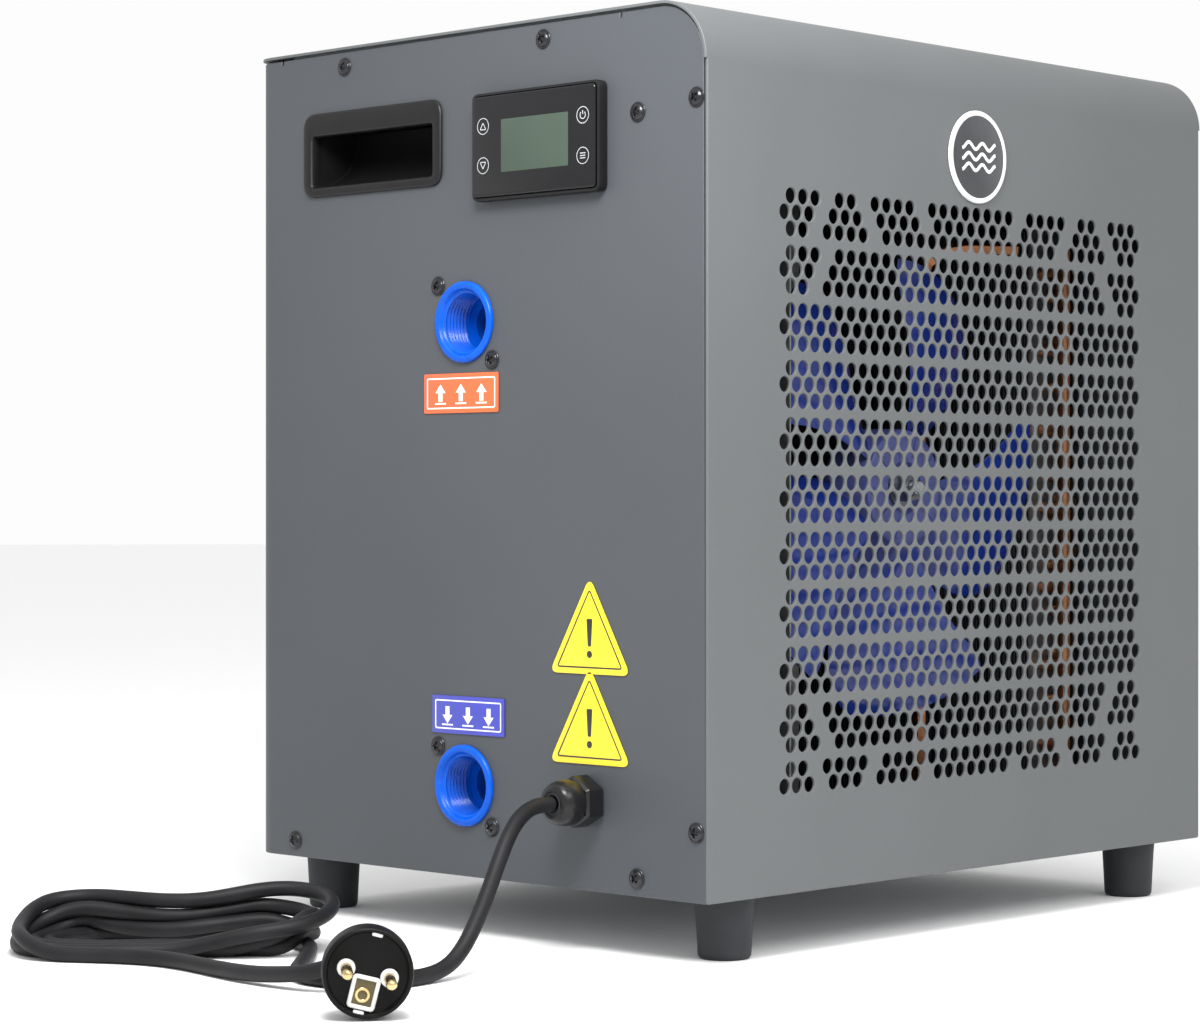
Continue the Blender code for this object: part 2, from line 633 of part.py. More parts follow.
# ---- water unions and exchanger ---------------------------------------------
def union_screw_places():
    """The screws that hold each union's flange behind the panel."""
    offset = PORT_SCREW_OFFSET
    places = []
    for z in (OUTLET_Z, INLET_Z):
        places += [(UNION_X - offset, z + offset - 0.6), (UNION_X + offset, z - offset)]
    return places


def make_union(name, z):
    """A threaded socket: a rounded rim on the panel and ridges down the bore."""
    rim = UNION_OUTER_RADIUS
    bore = UNION_BORE_RADIUS
    body = rim - 1.9
    profile = [(rim - 1.4, UNION_PROUD), (rim - 0.3, UNION_PROUD - 0.8), (rim, GAP),
               (body, GAP), (body, -UNION_LENGTH + UNION_PROUD),
               (bore - 4.0, -UNION_LENGTH + UNION_PROUD), (bore - 4.0, -19.0), (bore, -18.0)]
    for turn in range(4):
        start = -15.6 + turn * 3.8
        profile += [(bore, start), (bore + 1.3, start + 1.2), (bore, start + 2.4)]
    profile += [(bore + 1.6, -0.6), (bore + 2.4, UNION_PROUD)]
    return turned(name, profile, (UNION_X, -HALF_D, z), (0, -1, 0), "union_blue", 24)


def make_exchanger():
    """The upright water tank between the unions, bored where each one meets it."""
    centre = (UNION_X, -HALF_D + UNION_LENGTH + EXCHANGER_SETBACK)
    bottom, top = CASE_BOTTOM + 5, EXCHANGER_TOP
    radius = EXCHANGER_RADIUS
    profile = [(0, top), (radius - 8, top), (radius, top - 8), (radius, bottom + 8),
               (radius - 8, bottom), (0, bottom)]
    tank = turned("heat_exchanger", profile, (*centre, 0), (0, 0, 1), "tank_white", 32)
    for z in (OUTLET_Z, INLET_Z):
        hole = circle((UNION_X, z), EXCHANGER_WAY, 20)
        boolean(tank, prism("way", hole, -HALF_D, centre[1], "Y"))
    return tank


# ---- cable gland ------------------------------------------------------------
def make_gland():
    """A hexagonal body through the panel and a domed nut that grips a soft seal."""
    face = -HALF_D
    low, high = face - 12.0, face - GAP
    body = prism("gland_body", hexagon((GLAND_X, GLAND_Z), GLAND_FLATS, 30), low, high, "Y",
                 "black_plastic", 30)
    thread = prism("thread", circle((GLAND_X, GLAND_Z), 8.0, 24), face - 4, face + 11, "Y")
    boolean(body, thread, "UNION")
    boolean(body, prism("way", circle((GLAND_X, GLAND_Z), 4.6, 20), face - 30, face + 30, "Y"))
    proud = GLAND_PROUD
    seat = 12.0 + GAP
    nut_profile = [(4.3, proud), (5.3, proud), (5.9, proud - 0.6), (7.2, proud - 0.6),
                   (9.6, proud - 2.2), (11.0, proud - 5.5), (11.4, proud - 9.5), (11.4, seat),
                   (4.3, seat)]
    turned("gland_nut", nut_profile, (GLAND_X, face, GLAND_Z), (0, -1, 0),
           "black_plastic", 24)


# ---- mains lead -------------------------------------------------------------
def smooth_route(route):
    """Points at even steps on a smooth curve through the route's own points."""
    points = [Vector((x, y - HALF_D, z)) for x, y, z in route]
    ends = [2 * points[0] - points[1]] + points + [2 * points[-1] - points[-2]]
    fine = []
    for i in range(len(points) - 1):
        before, start, end, after = ends[i:i + 4]
        for step in range(20):
            t = step / 20
            fine.append(0.5 * (2 * start + (end - before) * t
                               + (2 * before - 5 * start + 4 * end - after) * t * t
                               + (3 * start - before - 3 * end + after) * t ** 3))
    fine.append(points[-1])
    lengths = [0.0]
    for a, b in zip(fine, fine[1:]):
        lengths.append(lengths[-1] + (b - a).length)
    count = max(4, round(lengths[-1] / CORD_STEP))
    even = []
    at = 0
    for i in range(count + 1):
        want = lengths[-1] * i / count
        while at < len(fine) - 2 and lengths[at + 1] < want:
            at += 1
        share = (want - lengths[at]) / (lengths[at + 1] - lengths[at])
        even.append(fine[at].lerp(fine[at + 1], min(1.0, share)))
    return even


def make_cord(name, route):
    """A round tube along a route, as a closed mesh."""
    points = smooth_route(route)
    curve = bpy.data.curves.new(name, "CURVE")
    curve.dimensions = "3D"
    curve.bevel_depth = CORD_DIAMETER / 2 * MM
    curve.bevel_resolution = CORD_SIDES
    curve.use_fill_caps = True
    spline = curve.splines.new("POLY")
    spline.points.add(len(points) - 1)
    for place, point in zip(spline.points, points):
        place.co = (*(point * MM), 1.0)
    cord = bpy.data.objects.new(name, curve)
    parts.objects.link(cord)
    curve.materials.append(material("cord_rubber"))
    return cord


def make_hank():
    """The folded stretch of lead as one block with round corners."""
    outline = rounded_rectangle((0, 0), HANK_LENGTH, HANK_WIDTH, 12.0, 4)
    shape = prism_shape(outline, 0.2, HANK_HEIGHT, "Z")
    turn = Matrix.Rotation(HANK_TURN, 4, "Z")
    place = Matrix.Translation((*HANK_CENTRE, 0.0))
    bmesh.ops.transform(shape, matrix=place @ turn, verts=shape.verts)
    add_object("cord_hank", mesh_from(shape, "cord_hank"), "cord_rubber", 30)


def make_plug():
    """An earthed two-pin plug: body, two pins, earth clips and the socket insert."""
    face = Vector(PLUG_FACE)
    axis = Vector(PLUG_DIRECTION).normalized()
    radius = PLUG_RADIUS
    profile = [(0, -3.0), (radius - 2.4, -3.0), (radius - 1.6, 0.0), (radius - 0.6, 0.0),
               (radius, -1.0), (radius, -17.0), (radius - 2.5, -21.0), (11.0, -27.0),
               (7.6, -31.0), (6.2, -PLUG_LENGTH), (0, -PLUG_LENGTH)]
    body = turned("plug_body", profile, face, axis, "black_plastic", 32)
    side = Vector((0, 0, 1)).cross(axis).normalized()
    up = axis.cross(side)
    turn = Matrix.Rotation(PLUG_ROLL, 3, axis)
    side = turn @ side
    up = turn @ up
    seat = face - axis * 3.0
    for number, sign in (("1", -1), ("2", 1)):
        foot = seat + side * (sign * PIN_SPACING / 2)
        hole = [(0, 1.0), (PIN_RADIUS + GAP, 1.0), (PIN_RADIUS + GAP, -6.0), (0, -6.0)]
        boolean(body, turned("pin_hole", hole, foot, axis, None, 16))
        pin = [(0, PIN_LENGTH + 3.0), (PIN_RADIUS - 1.1, PIN_LENGTH + 2.6),
               (PIN_RADIUS, PIN_LENGTH + 1.2), (PIN_RADIUS, -5.5), (0, -5.5)]
        turned("plug_pin_" + number, pin, foot, axis, "bright_steel", 16)
    clip_turn = Matrix((side, up, axis)).transposed().to_4x4()
    for number, sign in (("1", 1), ("2", -1)):
        groove = prism_shape(rounded_rectangle((0, sign * (radius - 1.6)), 5.4, 5.0, 0.4, 1),
                             -16.0, 2.0, "Z")
        clip = prism_shape(rounded_rectangle((0, sign * (radius - 2.3)), 4.6, 2.4, 0.4, 1),
                           -15.4, -0.6, "Z")
        place = Matrix.Translation(face) @ clip_turn
        bmesh.ops.transform(groove, matrix=place, verts=groove.verts)
        bmesh.ops.transform(clip, matrix=place, verts=clip.verts)
        boolean(body, add_object("groove", mesh_from(groove, "groove"), None))
        name = "plug_earth_clip_" + number
        add_object(name, mesh_from(clip, name), "bright_steel")
    socket = [(0, -10.0), (2.6, -10.0), (2.6, 1.6), (4.6, 1.6), (4.6, -11.0), (0, -11.0)]
    foot = seat - up * 9.6
    hole = [(0, 3.0), (4.6 + GAP, 3.0), (4.6 + GAP, -11.4), (0, -11.4)]
    boolean(body, turned("socket_hole", hole, foot, axis, None, 16))
    turned("plug_earth_socket", socket, foot, axis, "tank_white", 16)


# ---- labels and badge -------------------------------------------------------
def make_labels():
    """Flat stickers on the service side and the round badge on the front."""
    low = -HALF_D - GAP - LABEL_THICKNESS
    high = -HALF_D - GAP
    prism("outlet_label", rounded_rectangle((-2.8, 276.0), 54.3, 20.1, 0.6, 1), low, high,
          "Y", "orange_label")
    prism("inlet_label", rounded_rectangle((2.4, 112.5), 52.4, 19.2, 0.6, 1), low, high,
          "Y", "violet_label")
    for name, foot in (("warning_label_upper", 136.8), ("warning_label_lower", 92.8)):
        radius = TRIANGLE_RADIUS
        slope = math.degrees(math.atan2(TRIANGLE_RISE, TRIANGLE_HALF))
        reach = TRIANGLE_HALF - 4.3
        outline = arc((TRIANGLE_X - reach, foot + radius), radius, 90 + slope, 270, 4)
        outline += arc((TRIANGLE_X + reach, foot + radius), radius, -90, 90 - slope, 4)
        outline += arc((TRIANGLE_X, foot + TRIANGLE_RISE - 5.0), radius, 90 - slope,
                       90 + slope, 4)
        prism(name, outline, low, high, "Y", "yellow_label")
    profile = [(0, BADGE_PROUD), (BADGE_RADIUS - 1.2, BADGE_PROUD),
               (BADGE_RADIUS, BADGE_PROUD - 1.0), (BADGE_RADIUS, GAP), (0, GAP)]
    turned("front_badge", profile, (HALF_W, BADGE_Y, BADGE_Z), (1, 0, 0), "badge_dark", 32)


# ---- fan --------------------------------------------------------------------
def blade_shape(turn_angle):
    """One swept blade: its section is carried from the hub out to the tip."""
    across, along = 6, 5
    inner, outer = FAN_HUB_RADIUS - 4.0, FAN_RADIUS
    shape = bmesh.new()
    grids = []
    for half_thick in (-1.1, 1.1):
        grid = []
        for i in range(along + 1):
            reach = i / along
            radius = inner + (outer - inner) * reach
            row = []
            for j in range(across + 1):
                chord = j / across - 0.5
                spread = math.radians(50.0 + 6.0 * reach)
                sweep = math.radians(14.0) * reach ** 2
                angle = turn_angle + spread * chord + sweep
                lift = (24.0 - 2.0 * reach) * chord + 3.0 * math.cos(chord * math.pi)
                x = FAN_HUB_BACK + 14.0 + lift + half_thick
                row.append(shape.verts.new((x, FAN_AXIS_Y + radius * math.cos(angle),
                                            FAN_AXIS_Z + radius * math.sin(angle))))
            grid.append(row)
        grids.append(grid)
    back, front = grids
    for i in range(along):
        for j in range(across):
            quad = [(i, j), (i + 1, j), (i + 1, j + 1), (i, j + 1)]
            shape.faces.new([front[a][b] for a, b in quad])
            shape.faces.new([back[a][b] for a, b in reversed(quad)])
    rim = [(i, 0) for i in range(along)] + [(along, j) for j in range(across)]
    rim += [(i, across) for i in range(along, 0, -1)] + [(0, j) for j in range(across, 0, -1)]
    for (a, b), (c, d) in zip(rim, rim[1:] + rim[:1]):
        shape.faces.new([front[a][b], back[a][b], back[c][d], front[c][d]])
    return shape


def make_fan():
    """Hub with five blades, on the motor's shaft, held by a nut; turns about X."""
    length = FAN_HUB_LENGTH
    hub_profile = [(SHAFT_RADIUS + GAP, length - 5.0), (12.0, length - 5.0),
                   (14.0, length - 1.0), (FAN_HUB_RADIUS - 4, length),
                   (FAN_HUB_RADIUS, length - 4), (FAN_HUB_RADIUS + 0.5, 0),
                   (SHAFT_RADIUS + GAP, 0)]
    base = (FAN_HUB_BACK, FAN_AXIS_Y, FAN_AXIS_Z)
    fan = turned("fan_rotor", hub_profile, base, (1, 0, 0), "fan_blue", 40)
    for blade in range(FAN_BLADES):
        shape = blade_shape(math.tau * blade / FAN_BLADES + math.radians(126))
        boolean(fan, add_object("blade", mesh_from(shape, "blade"), None), "UNION")
    fan.data.shade_smooth()
    fan.data.set_sharp_from_angle(angle=math.radians(40))
    motor_face = MOTOR_BACK + MOTOR_LENGTH
    tip = FAN_HUB_BACK + length + 9.0
    shaft_profile = [(0, tip), (SHAFT_RADIUS - 0.6, tip), (SHAFT_RADIUS, tip - 0.6),
                     (SHAFT_RADIUS, motor_face - 20.0), (0, motor_face - 20.0)]
    shaft = turned("fan_shaft", shaft_profile, (0, FAN_AXIS_Y, FAN_AXIS_Z), (1, 0, 0),
                   "bright_steel", 24)
    seat = FAN_HUB_BACK + length - 5.0 + GAP
    nut = prism("fan_nut", hexagon((FAN_AXIS_Y, FAN_AXIS_Z), NUT_FLATS, 12), seat + 1.4,
                seat + 9.0, "X", "bright_steel")
    washer = prism("washer", circle((FAN_AXIS_Y, FAN_AXIS_Z), 10.0, 24), seat, seat + 1.6, "X")
    boolean(nut, washer, "UNION")
    way = circle((FAN_AXIS_Y, FAN_AXIS_Z), SHAFT_RADIUS + GAP, 24)
    boolean(nut, prism("way", way, seat - 5, seat + 20, "X"))
    for item in (fan, shaft, nut):
        set_origin(item, (FAN_HUB_BACK, FAN_AXIS_Y, FAN_AXIS_Z))


def make_motor():
    """The fan motor on its upright bracket."""
    length = MOTOR_LENGTH
    radius = MOTOR_RADIUS
    bore = SHAFT_RADIUS + 1.2
    profile = [(bore, length), (11.0, length), (11.0, length - 4.0), (radius - 6, length - 6.0),
               (radius, length - 12.0), (radius, length * 0.5 + 2), (radius + 3, length * 0.5 + 2),
               (radius + 3, length * 0.5 - 2), (radius, length * 0.5 - 2), (radius, 10.0),
               (radius - 6, 4.0), (12.0, 0.0), (0, 0.0), (0, length - 26.0),
               (bore, length - 26.0)]
    base = (MOTOR_BACK, FAN_AXIS_Y, FAN_AXIS_Z)
    turned("fan_motor", profile, base, (1, 0, 0), "compressor_black", 24)
    # bracket: a folded upright plate with a bearing hole and two side flanges
    low, high = FAN_AXIS_Y - BRACKET_HALF, FAN_AXIS_Y + BRACKET_HALF
    front, web, lip = MOTOR_BACK - 3.0, MOTOR_BACK - 5.0, MOTOR_BACK - 15.0
    plan = [(front, low), (front, high), (lip, high), (lip, high - 2.0), (web, high - 2.0),
            (web, low + 2.0), (lip, low + 2.0), (lip, low)]
    bracket = prism("motor_bracket", plan, BASE_TOP, BRACKET_TOP, "Z", "galvanised")
    spacer = prism("spacer", circle((FAN_AXIS_Y, FAN_AXIS_Z), 13.0, 24), MOTOR_BACK - 4.0,
                   MOTOR_BACK - GAP, "X")
    boolean(bracket, spacer, "UNION")
    for z in BRACKET_WINDOWS:
        window = rounded_rectangle((FAN_AXIS_Y, z), 36.0, 70.0, 8.0, 3)
        boolean(bracket, prism("window", window, 0, MOTOR_BACK, "X"))


def set_origin(item, place):
    """Put an object's origin on its axis without moving its mesh."""
    shift = Vector(place) * MM
    item.data.transform(Matrix.Translation(-shift))
    item.location = shift


# ---- refrigerant side -------------------------------------------------------
def make_coil():
    """The L-shaped finned coil, its end plate and the copper header on it."""
    low, high = CASE_BOTTOM + 5.0, COIL_TOP
    back, front = -155.0, -117.0
    far_out, far_in = 198.0, 160.0
    start_y = -72.0
    end_x = 82.0
    pitch, tooth = 12.0, 2.5
    radius = 14.0
    outline = []
    y = start_y
    while y < far_out - radius - pitch:                     # outer side of the long leg
        outline += [(back, y), (back, y + pitch / 2), (back + tooth, y + pitch / 2),
                    (back + tooth, y + pitch)]
        y += pitch
    outline += reversed(arc((back + radius, far_out - radius), radius, 90, 180, 4))
    x = back + radius + pitch
    while x < end_x - pitch:                                # outer side of the short leg
        outline += [(x, far_out), (x + pitch / 2, far_out), (x + pitch / 2, far_out - tooth),
                    (x + pitch, far_out - tooth)]
        x += pitch
    outline += [(end_x, far_out), (end_x, far_in)]
    x = end_x - pitch
    while x > front + pitch:                                # inner side of the short leg
        outline += [(x, far_in), (x - pitch / 2, far_in), (x - pitch / 2, far_in + tooth),
                    (x - pitch, far_in + tooth)]
        x -= pitch
    outline += [(front, far_in)]
    y = far_in - pitch
    while y > start_y + pitch:                              # inner side of the long leg
        outline += [(front, y), (front, y - pitch / 2), (front - tooth, y - pitch / 2),
                    (front - tooth, y - pitch)]
        y -= pitch
    outline += [(front, start_y)]
    prism("coil_fins", outline, low, high, "Z", "fin_black")
    sheet = rounded_rectangle(((far_in + far_out) / 2, (low + high) / 2), 40.0,
                              high - low + 4, 1.0, 1)
    prism("coil_end_plate", sheet, end_x + GAP, end_x + GAP + 1.5, "X", "galvanised")
    face = end_x + GAP + 1.5 + GAP
    header = turned("coil_header", [(0, 366.0), (5.0, 366.0), (5.0, 60.0), (0, 60.0)],
                    (face + 16.0, 170.0, 0), (0, 0, 1), "copper", 16)
    for step in range(7):
        z = 82.0 + step * COIL_TUBE_PITCH
        stub = turned("stub", [(0, 16.0), (3.4, 16.0), (3.4, 0), (0, 0)], (face, 170.0, z),
                      (1, 0, 0), None, 12)
        boolean(header, stub, "UNION")


def make_compressor():
    """The welded compressor can on the base, with its suction bottle strapped to it."""
    top, wide = COMPRESSOR_TOP, COMPRESSOR_RADIUS
    can = [(0, top), (wide - 28, top), (wide - 10, top - 8), (wide, top - 24),
           (wide, BASE_TOP + 26), (wide - 6, BASE_TOP + 14), (wide - 6, BASE_TOP + 8),
           (wide - 1, BASE_TOP + 6), (wide - 1, BASE_TOP), (0, BASE_TOP)]
    body = turned("compressor", can, (*COMPRESSOR_PLACE, 0), (0, 0, 1), "compressor_black", 24)
    bottle = [(0, 196.0), (6.0, 195.0), (13.0, 186.0), (13.0, 96.0), (6.0, 86.0), (0, 85.0)]
    boolean(body, turned("bottle", bottle, (*BOTTLE_PLACE, 0), (0, 0, 1), None, 16), "UNION")
    strap = [(-72.0, -128.0), (-50.0, -120.0), (-50.0, -112.0), (-72.0, -118.0)]
    boolean(body, prism("strap", strap, 134.0, 146.0, "Z"), "UNION")


def make_partition():
    """The folded sheet between the fan chamber and the compressor chamber."""
    thick = PARTITION_SHEET
    path = [(158.0, -140.0), (84.0, -140.0), (56.0, -88.0), (-158.0, -88.0)]
    inner = [(x, y + thick) for x, y in path]
    inner[1] = (84.6, -140.0 + thick)
    inner[2] = (56.6, -88.0 + thick)
    prism("partition", path + inner[::-1], BASE_TOP, PARTITION_TOP, "Z", "galvanised")


def make_electrical_box():
    """The box behind the control panel that takes the mains lead's wires."""
    box("electrical_box", *ELECTRICAL_BOX, "black_plastic")


def make_pipe(name, points, radius):
    """A bent copper pipe along points."""
    curve = bpy.data.curves.new(name, "CURVE")
    curve.dimensions = "3D"
    curve.bevel_depth = radius * MM
    curve.bevel_resolution = 1
    curve.use_fill_caps = True
    spline = curve.splines.new("POLY")
    spline.points.add(len(points) - 1)
    for place, point in zip(spline.points, points):
        place.co = (*(Vector(point) * MM), 1.0)
    pipe = bpy.data.objects.new(name, curve)
    parts.objects.link(pipe)
    curve.materials.append(material("copper"))
    return pipe


def bend_up(place, height, end_x):
    """Up from the compressor and over towards the exchanger in one bend."""
    x, y = place
    radius = 18.0
    points = [(x, y, height - radius)]
    for step in range(1, 5):
        angle = math.radians(90 * step / 4)
        points.append((x + radius * (1 - math.cos(angle)), y,
                       height - radius + radius * math.sin(angle)))
    return points + [(end_x, y, height)]


def make_pipes():
    """Hot-gas pipe to the exchanger and liquid line towards the coil."""
    start = (*COMPRESSOR_PLACE, COMPRESSOR_TOP + GAP)
    hot = [start] + bend_up(COMPRESSOR_PLACE, COMPRESSOR_TOP + 30.0, -46.0)
    make_pipe("discharge_pipe", hot, 4.0)
    riser = [(48.0, 102.0, CASE_BOTTOM + 6), (48.0, 102.0, 345.0), (50.5, 106.5, 356.0),
             (56.0, 113.0, 362.0), (64.0, 124.0, 364.0), (80.0, 150.0, 364.0)]
    make_pipe("liquid_line", riser, 4.5)


# ---- assembly ---------------------------------------------------------------
def make_screws():
    """Screws of the service side, of the unions and of the far side."""
    for number, (x, z) in enumerate(SERVICE_SCREWS, 1):
        screw("service_screw_%d" % number, x, z, -1)
    for number, (x, z) in enumerate(union_screw_places(), 1):
        screw("union_screw_%d" % number, x, z, -1)
    for number, (x, z) in enumerate(FAR_SCREWS, 1):
        screw("far_screw_%d" % number, x, z, 1)


def main():
    """Build every piece, then move the origin to the middle of the model's box."""
    clear_scene()
    make_cover()
    make_service_panel()
    make_far_panel()
    make_rear_grille()
    make_base_pan()
    make_feet()
    make_handle("handle_service", -1)
    make_handle("handle_far", 1)
    make_control_panel()
    make_union("outlet_union", OUTLET_Z)
    make_union("inlet_union", INLET_Z)
    make_exchanger()
    make_gland()
    make_screws()
    make_cord("cord_lead", LEAD_ROUTE)
    make_cord("cord_tail", TAIL_ROUTE)
    make_hank()
    make_plug()
    make_labels()
    make_fan()
    make_motor()
    make_coil()
    make_compressor()
    make_partition()
    make_electrical_box()
    make_pipes()
    shift = Vector((-ORIGIN_X, -ORIGIN_Y, 0.0)) * MM
    for item in parts.objects:
        item.location += shift


main()
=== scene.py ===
# %% [markdown]
# # A small swimming-pool heat pump, piece by piece
# The real machine is a folded steel case on four rubber feet. Behind the perforated
# front a blue fan pulls air through a finned coil; water goes in and out through two
# blue threaded unions. The CAD model fixes every size and place. Here each visible
# piece gets its final shape and finish, so the lesson is about surfaces: most pieces
# are written as a formula on a grid of numbers and only then turned into a mesh.

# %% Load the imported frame
import math

import bmesh
import bpy
import numpy as np
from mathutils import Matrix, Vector
from mathutils.geometry import delaunay_2d_cdt


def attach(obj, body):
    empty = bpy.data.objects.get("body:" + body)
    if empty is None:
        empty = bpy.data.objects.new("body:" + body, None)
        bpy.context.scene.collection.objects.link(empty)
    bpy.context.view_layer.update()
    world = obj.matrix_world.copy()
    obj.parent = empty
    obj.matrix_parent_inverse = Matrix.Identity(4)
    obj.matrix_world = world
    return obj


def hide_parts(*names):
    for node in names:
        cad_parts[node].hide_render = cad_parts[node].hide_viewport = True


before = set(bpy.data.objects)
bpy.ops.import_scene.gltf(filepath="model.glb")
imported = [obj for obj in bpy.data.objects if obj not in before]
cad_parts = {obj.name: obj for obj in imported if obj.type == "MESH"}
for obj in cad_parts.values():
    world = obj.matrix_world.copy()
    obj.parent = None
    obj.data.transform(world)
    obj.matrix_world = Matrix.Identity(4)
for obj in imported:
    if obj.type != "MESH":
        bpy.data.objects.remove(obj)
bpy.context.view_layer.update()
MM = 0.001
TURN = 2 * math.pi

# %% [markdown]
# ## Two rulers
# The drawing of the case is in millimetres with its zero in the middle of the case's
# footprint. The model's origin is the middle of the whole box, a hair to one side.
# `row` goes from the drawing to the model's metres. `on` does the same for a side of
# the case, where it is easier to think in across, up and out of the sheet.

# %% From the drawing to the model
DRAWING_ORIGIN = np.array([1.0, -11.45, 0.0])
CASE = np.array([165.0, 207.5])                 # half width and half depth
SIDES = {
    "service": ((0, -CASE[1], 0), ((1, 0, 0), (0, 0, 1), (0, -1, 0))),
    "far": ((0, CASE[1], 0), ((1, 0, 0), (0, 0, 1), (0, 1, 0))),
    "front": ((CASE[0], 0, 0), ((0, 1, 0), (0, 0, 1), (1, 0, 0))),
    "rear": ((-CASE[0], 0, 0), ((0, 1, 0), (0, 0, 1), (-1, 0, 0))),
    "floor": ((0, 0, 0), ((1, 0, 0), (0, 1, 0), (0, 0, 1))),
}


def row(points):
    """Metres in the model's frame: (point - drawing origin) / 1000."""
    return (np.asarray(points, float) - DRAWING_ORIGIN) * MM


def on(side, across, up, out):
    """Place on a side of the case: origin + across * a + up * b + out * c, in metres."""
    start, axes = SIDES[side]
    parts = np.broadcast_arrays(*(np.asarray(x, float) for x in (across, up, out)))
    return row(np.asarray(start, float) + np.stack(parts, axis=-1) @ np.array(axes, float))


# %% [markdown]
# ## Finishes
# A finish is a Principled shader with a few nodes in front of it. `Wire` lets a
# socket take part in ordinary arithmetic, so a pattern can be written as a formula.
# `Finish` makes the shader and has one method that adds any other node.

# %% Shader arithmetic
class Wire:
    """A socket that takes part in sums: each operator adds the Math node that does it."""

    def __init__(self, finish, socket):
        self.finish = finish
        self.socket = socket

    def maths(self, operation, *values):
        """One Math node on these values."""
        return self.finish.node("ShaderNodeMath", {"operation": operation},
                                dict(enumerate(values)))

    def __add__(self, other):
        return self.maths("ADD", self, other)

    def __sub__(self, other):
        return self.maths("SUBTRACT", self, other)

    def __rsub__(self, other):
        return self.maths("SUBTRACT", other, self)

    def __mul__(self, other):
        return self.maths("MULTIPLY", self, other)

    __radd__ = __add__
    __rmul__ = __mul__

    def step(self, low, high):
        """A soft step: 0 below low, 1 above high."""
        return self.finish.node("ShaderNodeMapRange", {"interpolation_type": "SMOOTHSTEP"},
                                {"Value": self, "From Min": low, "From Max": high})


class Finish:
    """One material: its shader's fixed values, and the nodes that vary the rest."""

    def __init__(self, name, **fixed):
        self.material = bpy.data.materials.new(name)
        self.material.use_nodes = True
        self.tree = self.material.node_tree
        self.shader = self.tree.nodes["Principled BSDF"]
        self.feed(**fixed)

    def join(self, socket, value):
        """Link a wire to the socket, or set the socket to a plain value."""
        if isinstance(value, Wire):
            self.tree.links.new(value.socket, socket)
        else:
            socket.default_value = value

    def node(self, kind, settings, sockets, output=0):
        """Any node: its settings are set first, then its sockets get values or wires."""
        made = self.tree.nodes.new(kind)
        for key, value in settings.items():
            setattr(made, key, value)
        for key, value in sockets.items():
            self.join(made.inputs[key], value)
        return Wire(self, made.outputs[output])

    def place(self, stretch=(1, 1, 1)):
        """Object coordinates, stretched where a pattern runs one way."""
        where = self.node("ShaderNodeTexCoord", {}, {}, "Object")
        return self.node("ShaderNodeMapping", {}, {"Vector": where, "Scale": stretch})

    def noise(self, size, detail=2.0, stretch=(1, 1, 1), where=None):
        """Noise from 0 to 1 whose grains are about size metres across."""
        return self.node("ShaderNodeTexNoise", {},
                         {"Vector": where or self.place(stretch), "Scale": 1 / size,
                          "Detail": detail})

    def mixed(self, share, first, second):
        """Colour between two others by a share from 0 to 1."""
        return self.node("ShaderNodeMix", {"data_type": "RGBA"},
                         {0: share, 6: first, 7: second}, 2)

    def bump(self, height, depth):
        """Normals of a relief whose full height is depth metres."""
        return self.node("ShaderNodeBump", {}, {"Height": height, "Distance": depth})

    def feed(self, **sockets):
        """Values or wires for the shader's sockets, by name."""
        for name, value in sockets.items():
            self.join(self.shader.inputs[name.replace("_", " ")], value)
        return self


def tone(colour, factor=1.0):
    """A colour with its alpha, made lighter or darker."""
    return (*(min(1.0, c * factor) for c in colour), 1.0)


# %% [markdown]
# ## Painted steel
# The case is powder coated: a thick, even skin with a very fine orange-peel texture
# that spreads every highlight. Two sizes of noise do it. The fine one gives the relief
# and slightly uneven gloss, and the broad one keeps a large sheet from looking flat.

# %% Powder coat
def powder_coat(name, colour, roughness):
    """Colour (1 +- 4.5 % broad cloud) + flecks; relief 0.45 grain + 0.55 peel."""
    finish = Finish(name, Specular_IOR_Level=0.4)
    grain = finish.noise(0.0007, 3.0)
    peel = finish.noise(0.0032, 2.0)
    cloud = finish.noise(0.16, 2.0)
    shade = finish.mixed(cloud.step(0.3, 0.7), tone(colour, 0.955), tone(colour, 1.045))
    fleck = finish.mixed(grain.step(0.35, 0.68), shade, tone(colour, 1.16))
    skin = finish.mixed(0.35, shade, fleck)
    finish.feed(Base_Color=skin, Roughness=grain * 0.12 + roughness - 0.06 + cloud * 0.05,
                Normal=finish.bump(grain * 0.45 + peel * 0.55, 0.00007))
    return finish.material


CASE_GREY = powder_coat("case_grey", (0.056, 0.061, 0.068), 0.44)
COVER_GREY = powder_coat("cover_grey", (0.099, 0.105, 0.108), 0.50)


# %% [markdown]
# ## Plastics, rubber and metal
# Moulded plastic is fine-grained where the tool was textured and smooth where it was
# polished. Rubber is duller and picks up dust. Bare metal gets its look from roughness
# that follows the way it was made: drawn, rolled or zinc coated.

# %% Plastic, rubber and metal finishes
def moulded_plastic(name, colour, roughness, grain_size=0.0006, depth=0.00003, coat=0.0,
                    shine=0.28):
    """Colour (1 +- 12 % in patches), roughness with a little grain, fine relief."""
    finish = Finish(name, Coat_Weight=coat, Coat_Roughness=0.12, Specular_IOR_Level=shine)
    grain = finish.noise(grain_size, 2.0)
    patch = finish.noise(0.02, 2.0)
    skin = finish.mixed(patch.step(0.3, 0.7), tone(colour, 0.88), tone(colour, 1.12))
    finish.feed(Base_Color=skin, Roughness=grain * 0.08 + patch * 0.06 + (roughness - 0.07),
                Normal=finish.bump(grain, depth))
    return finish.material


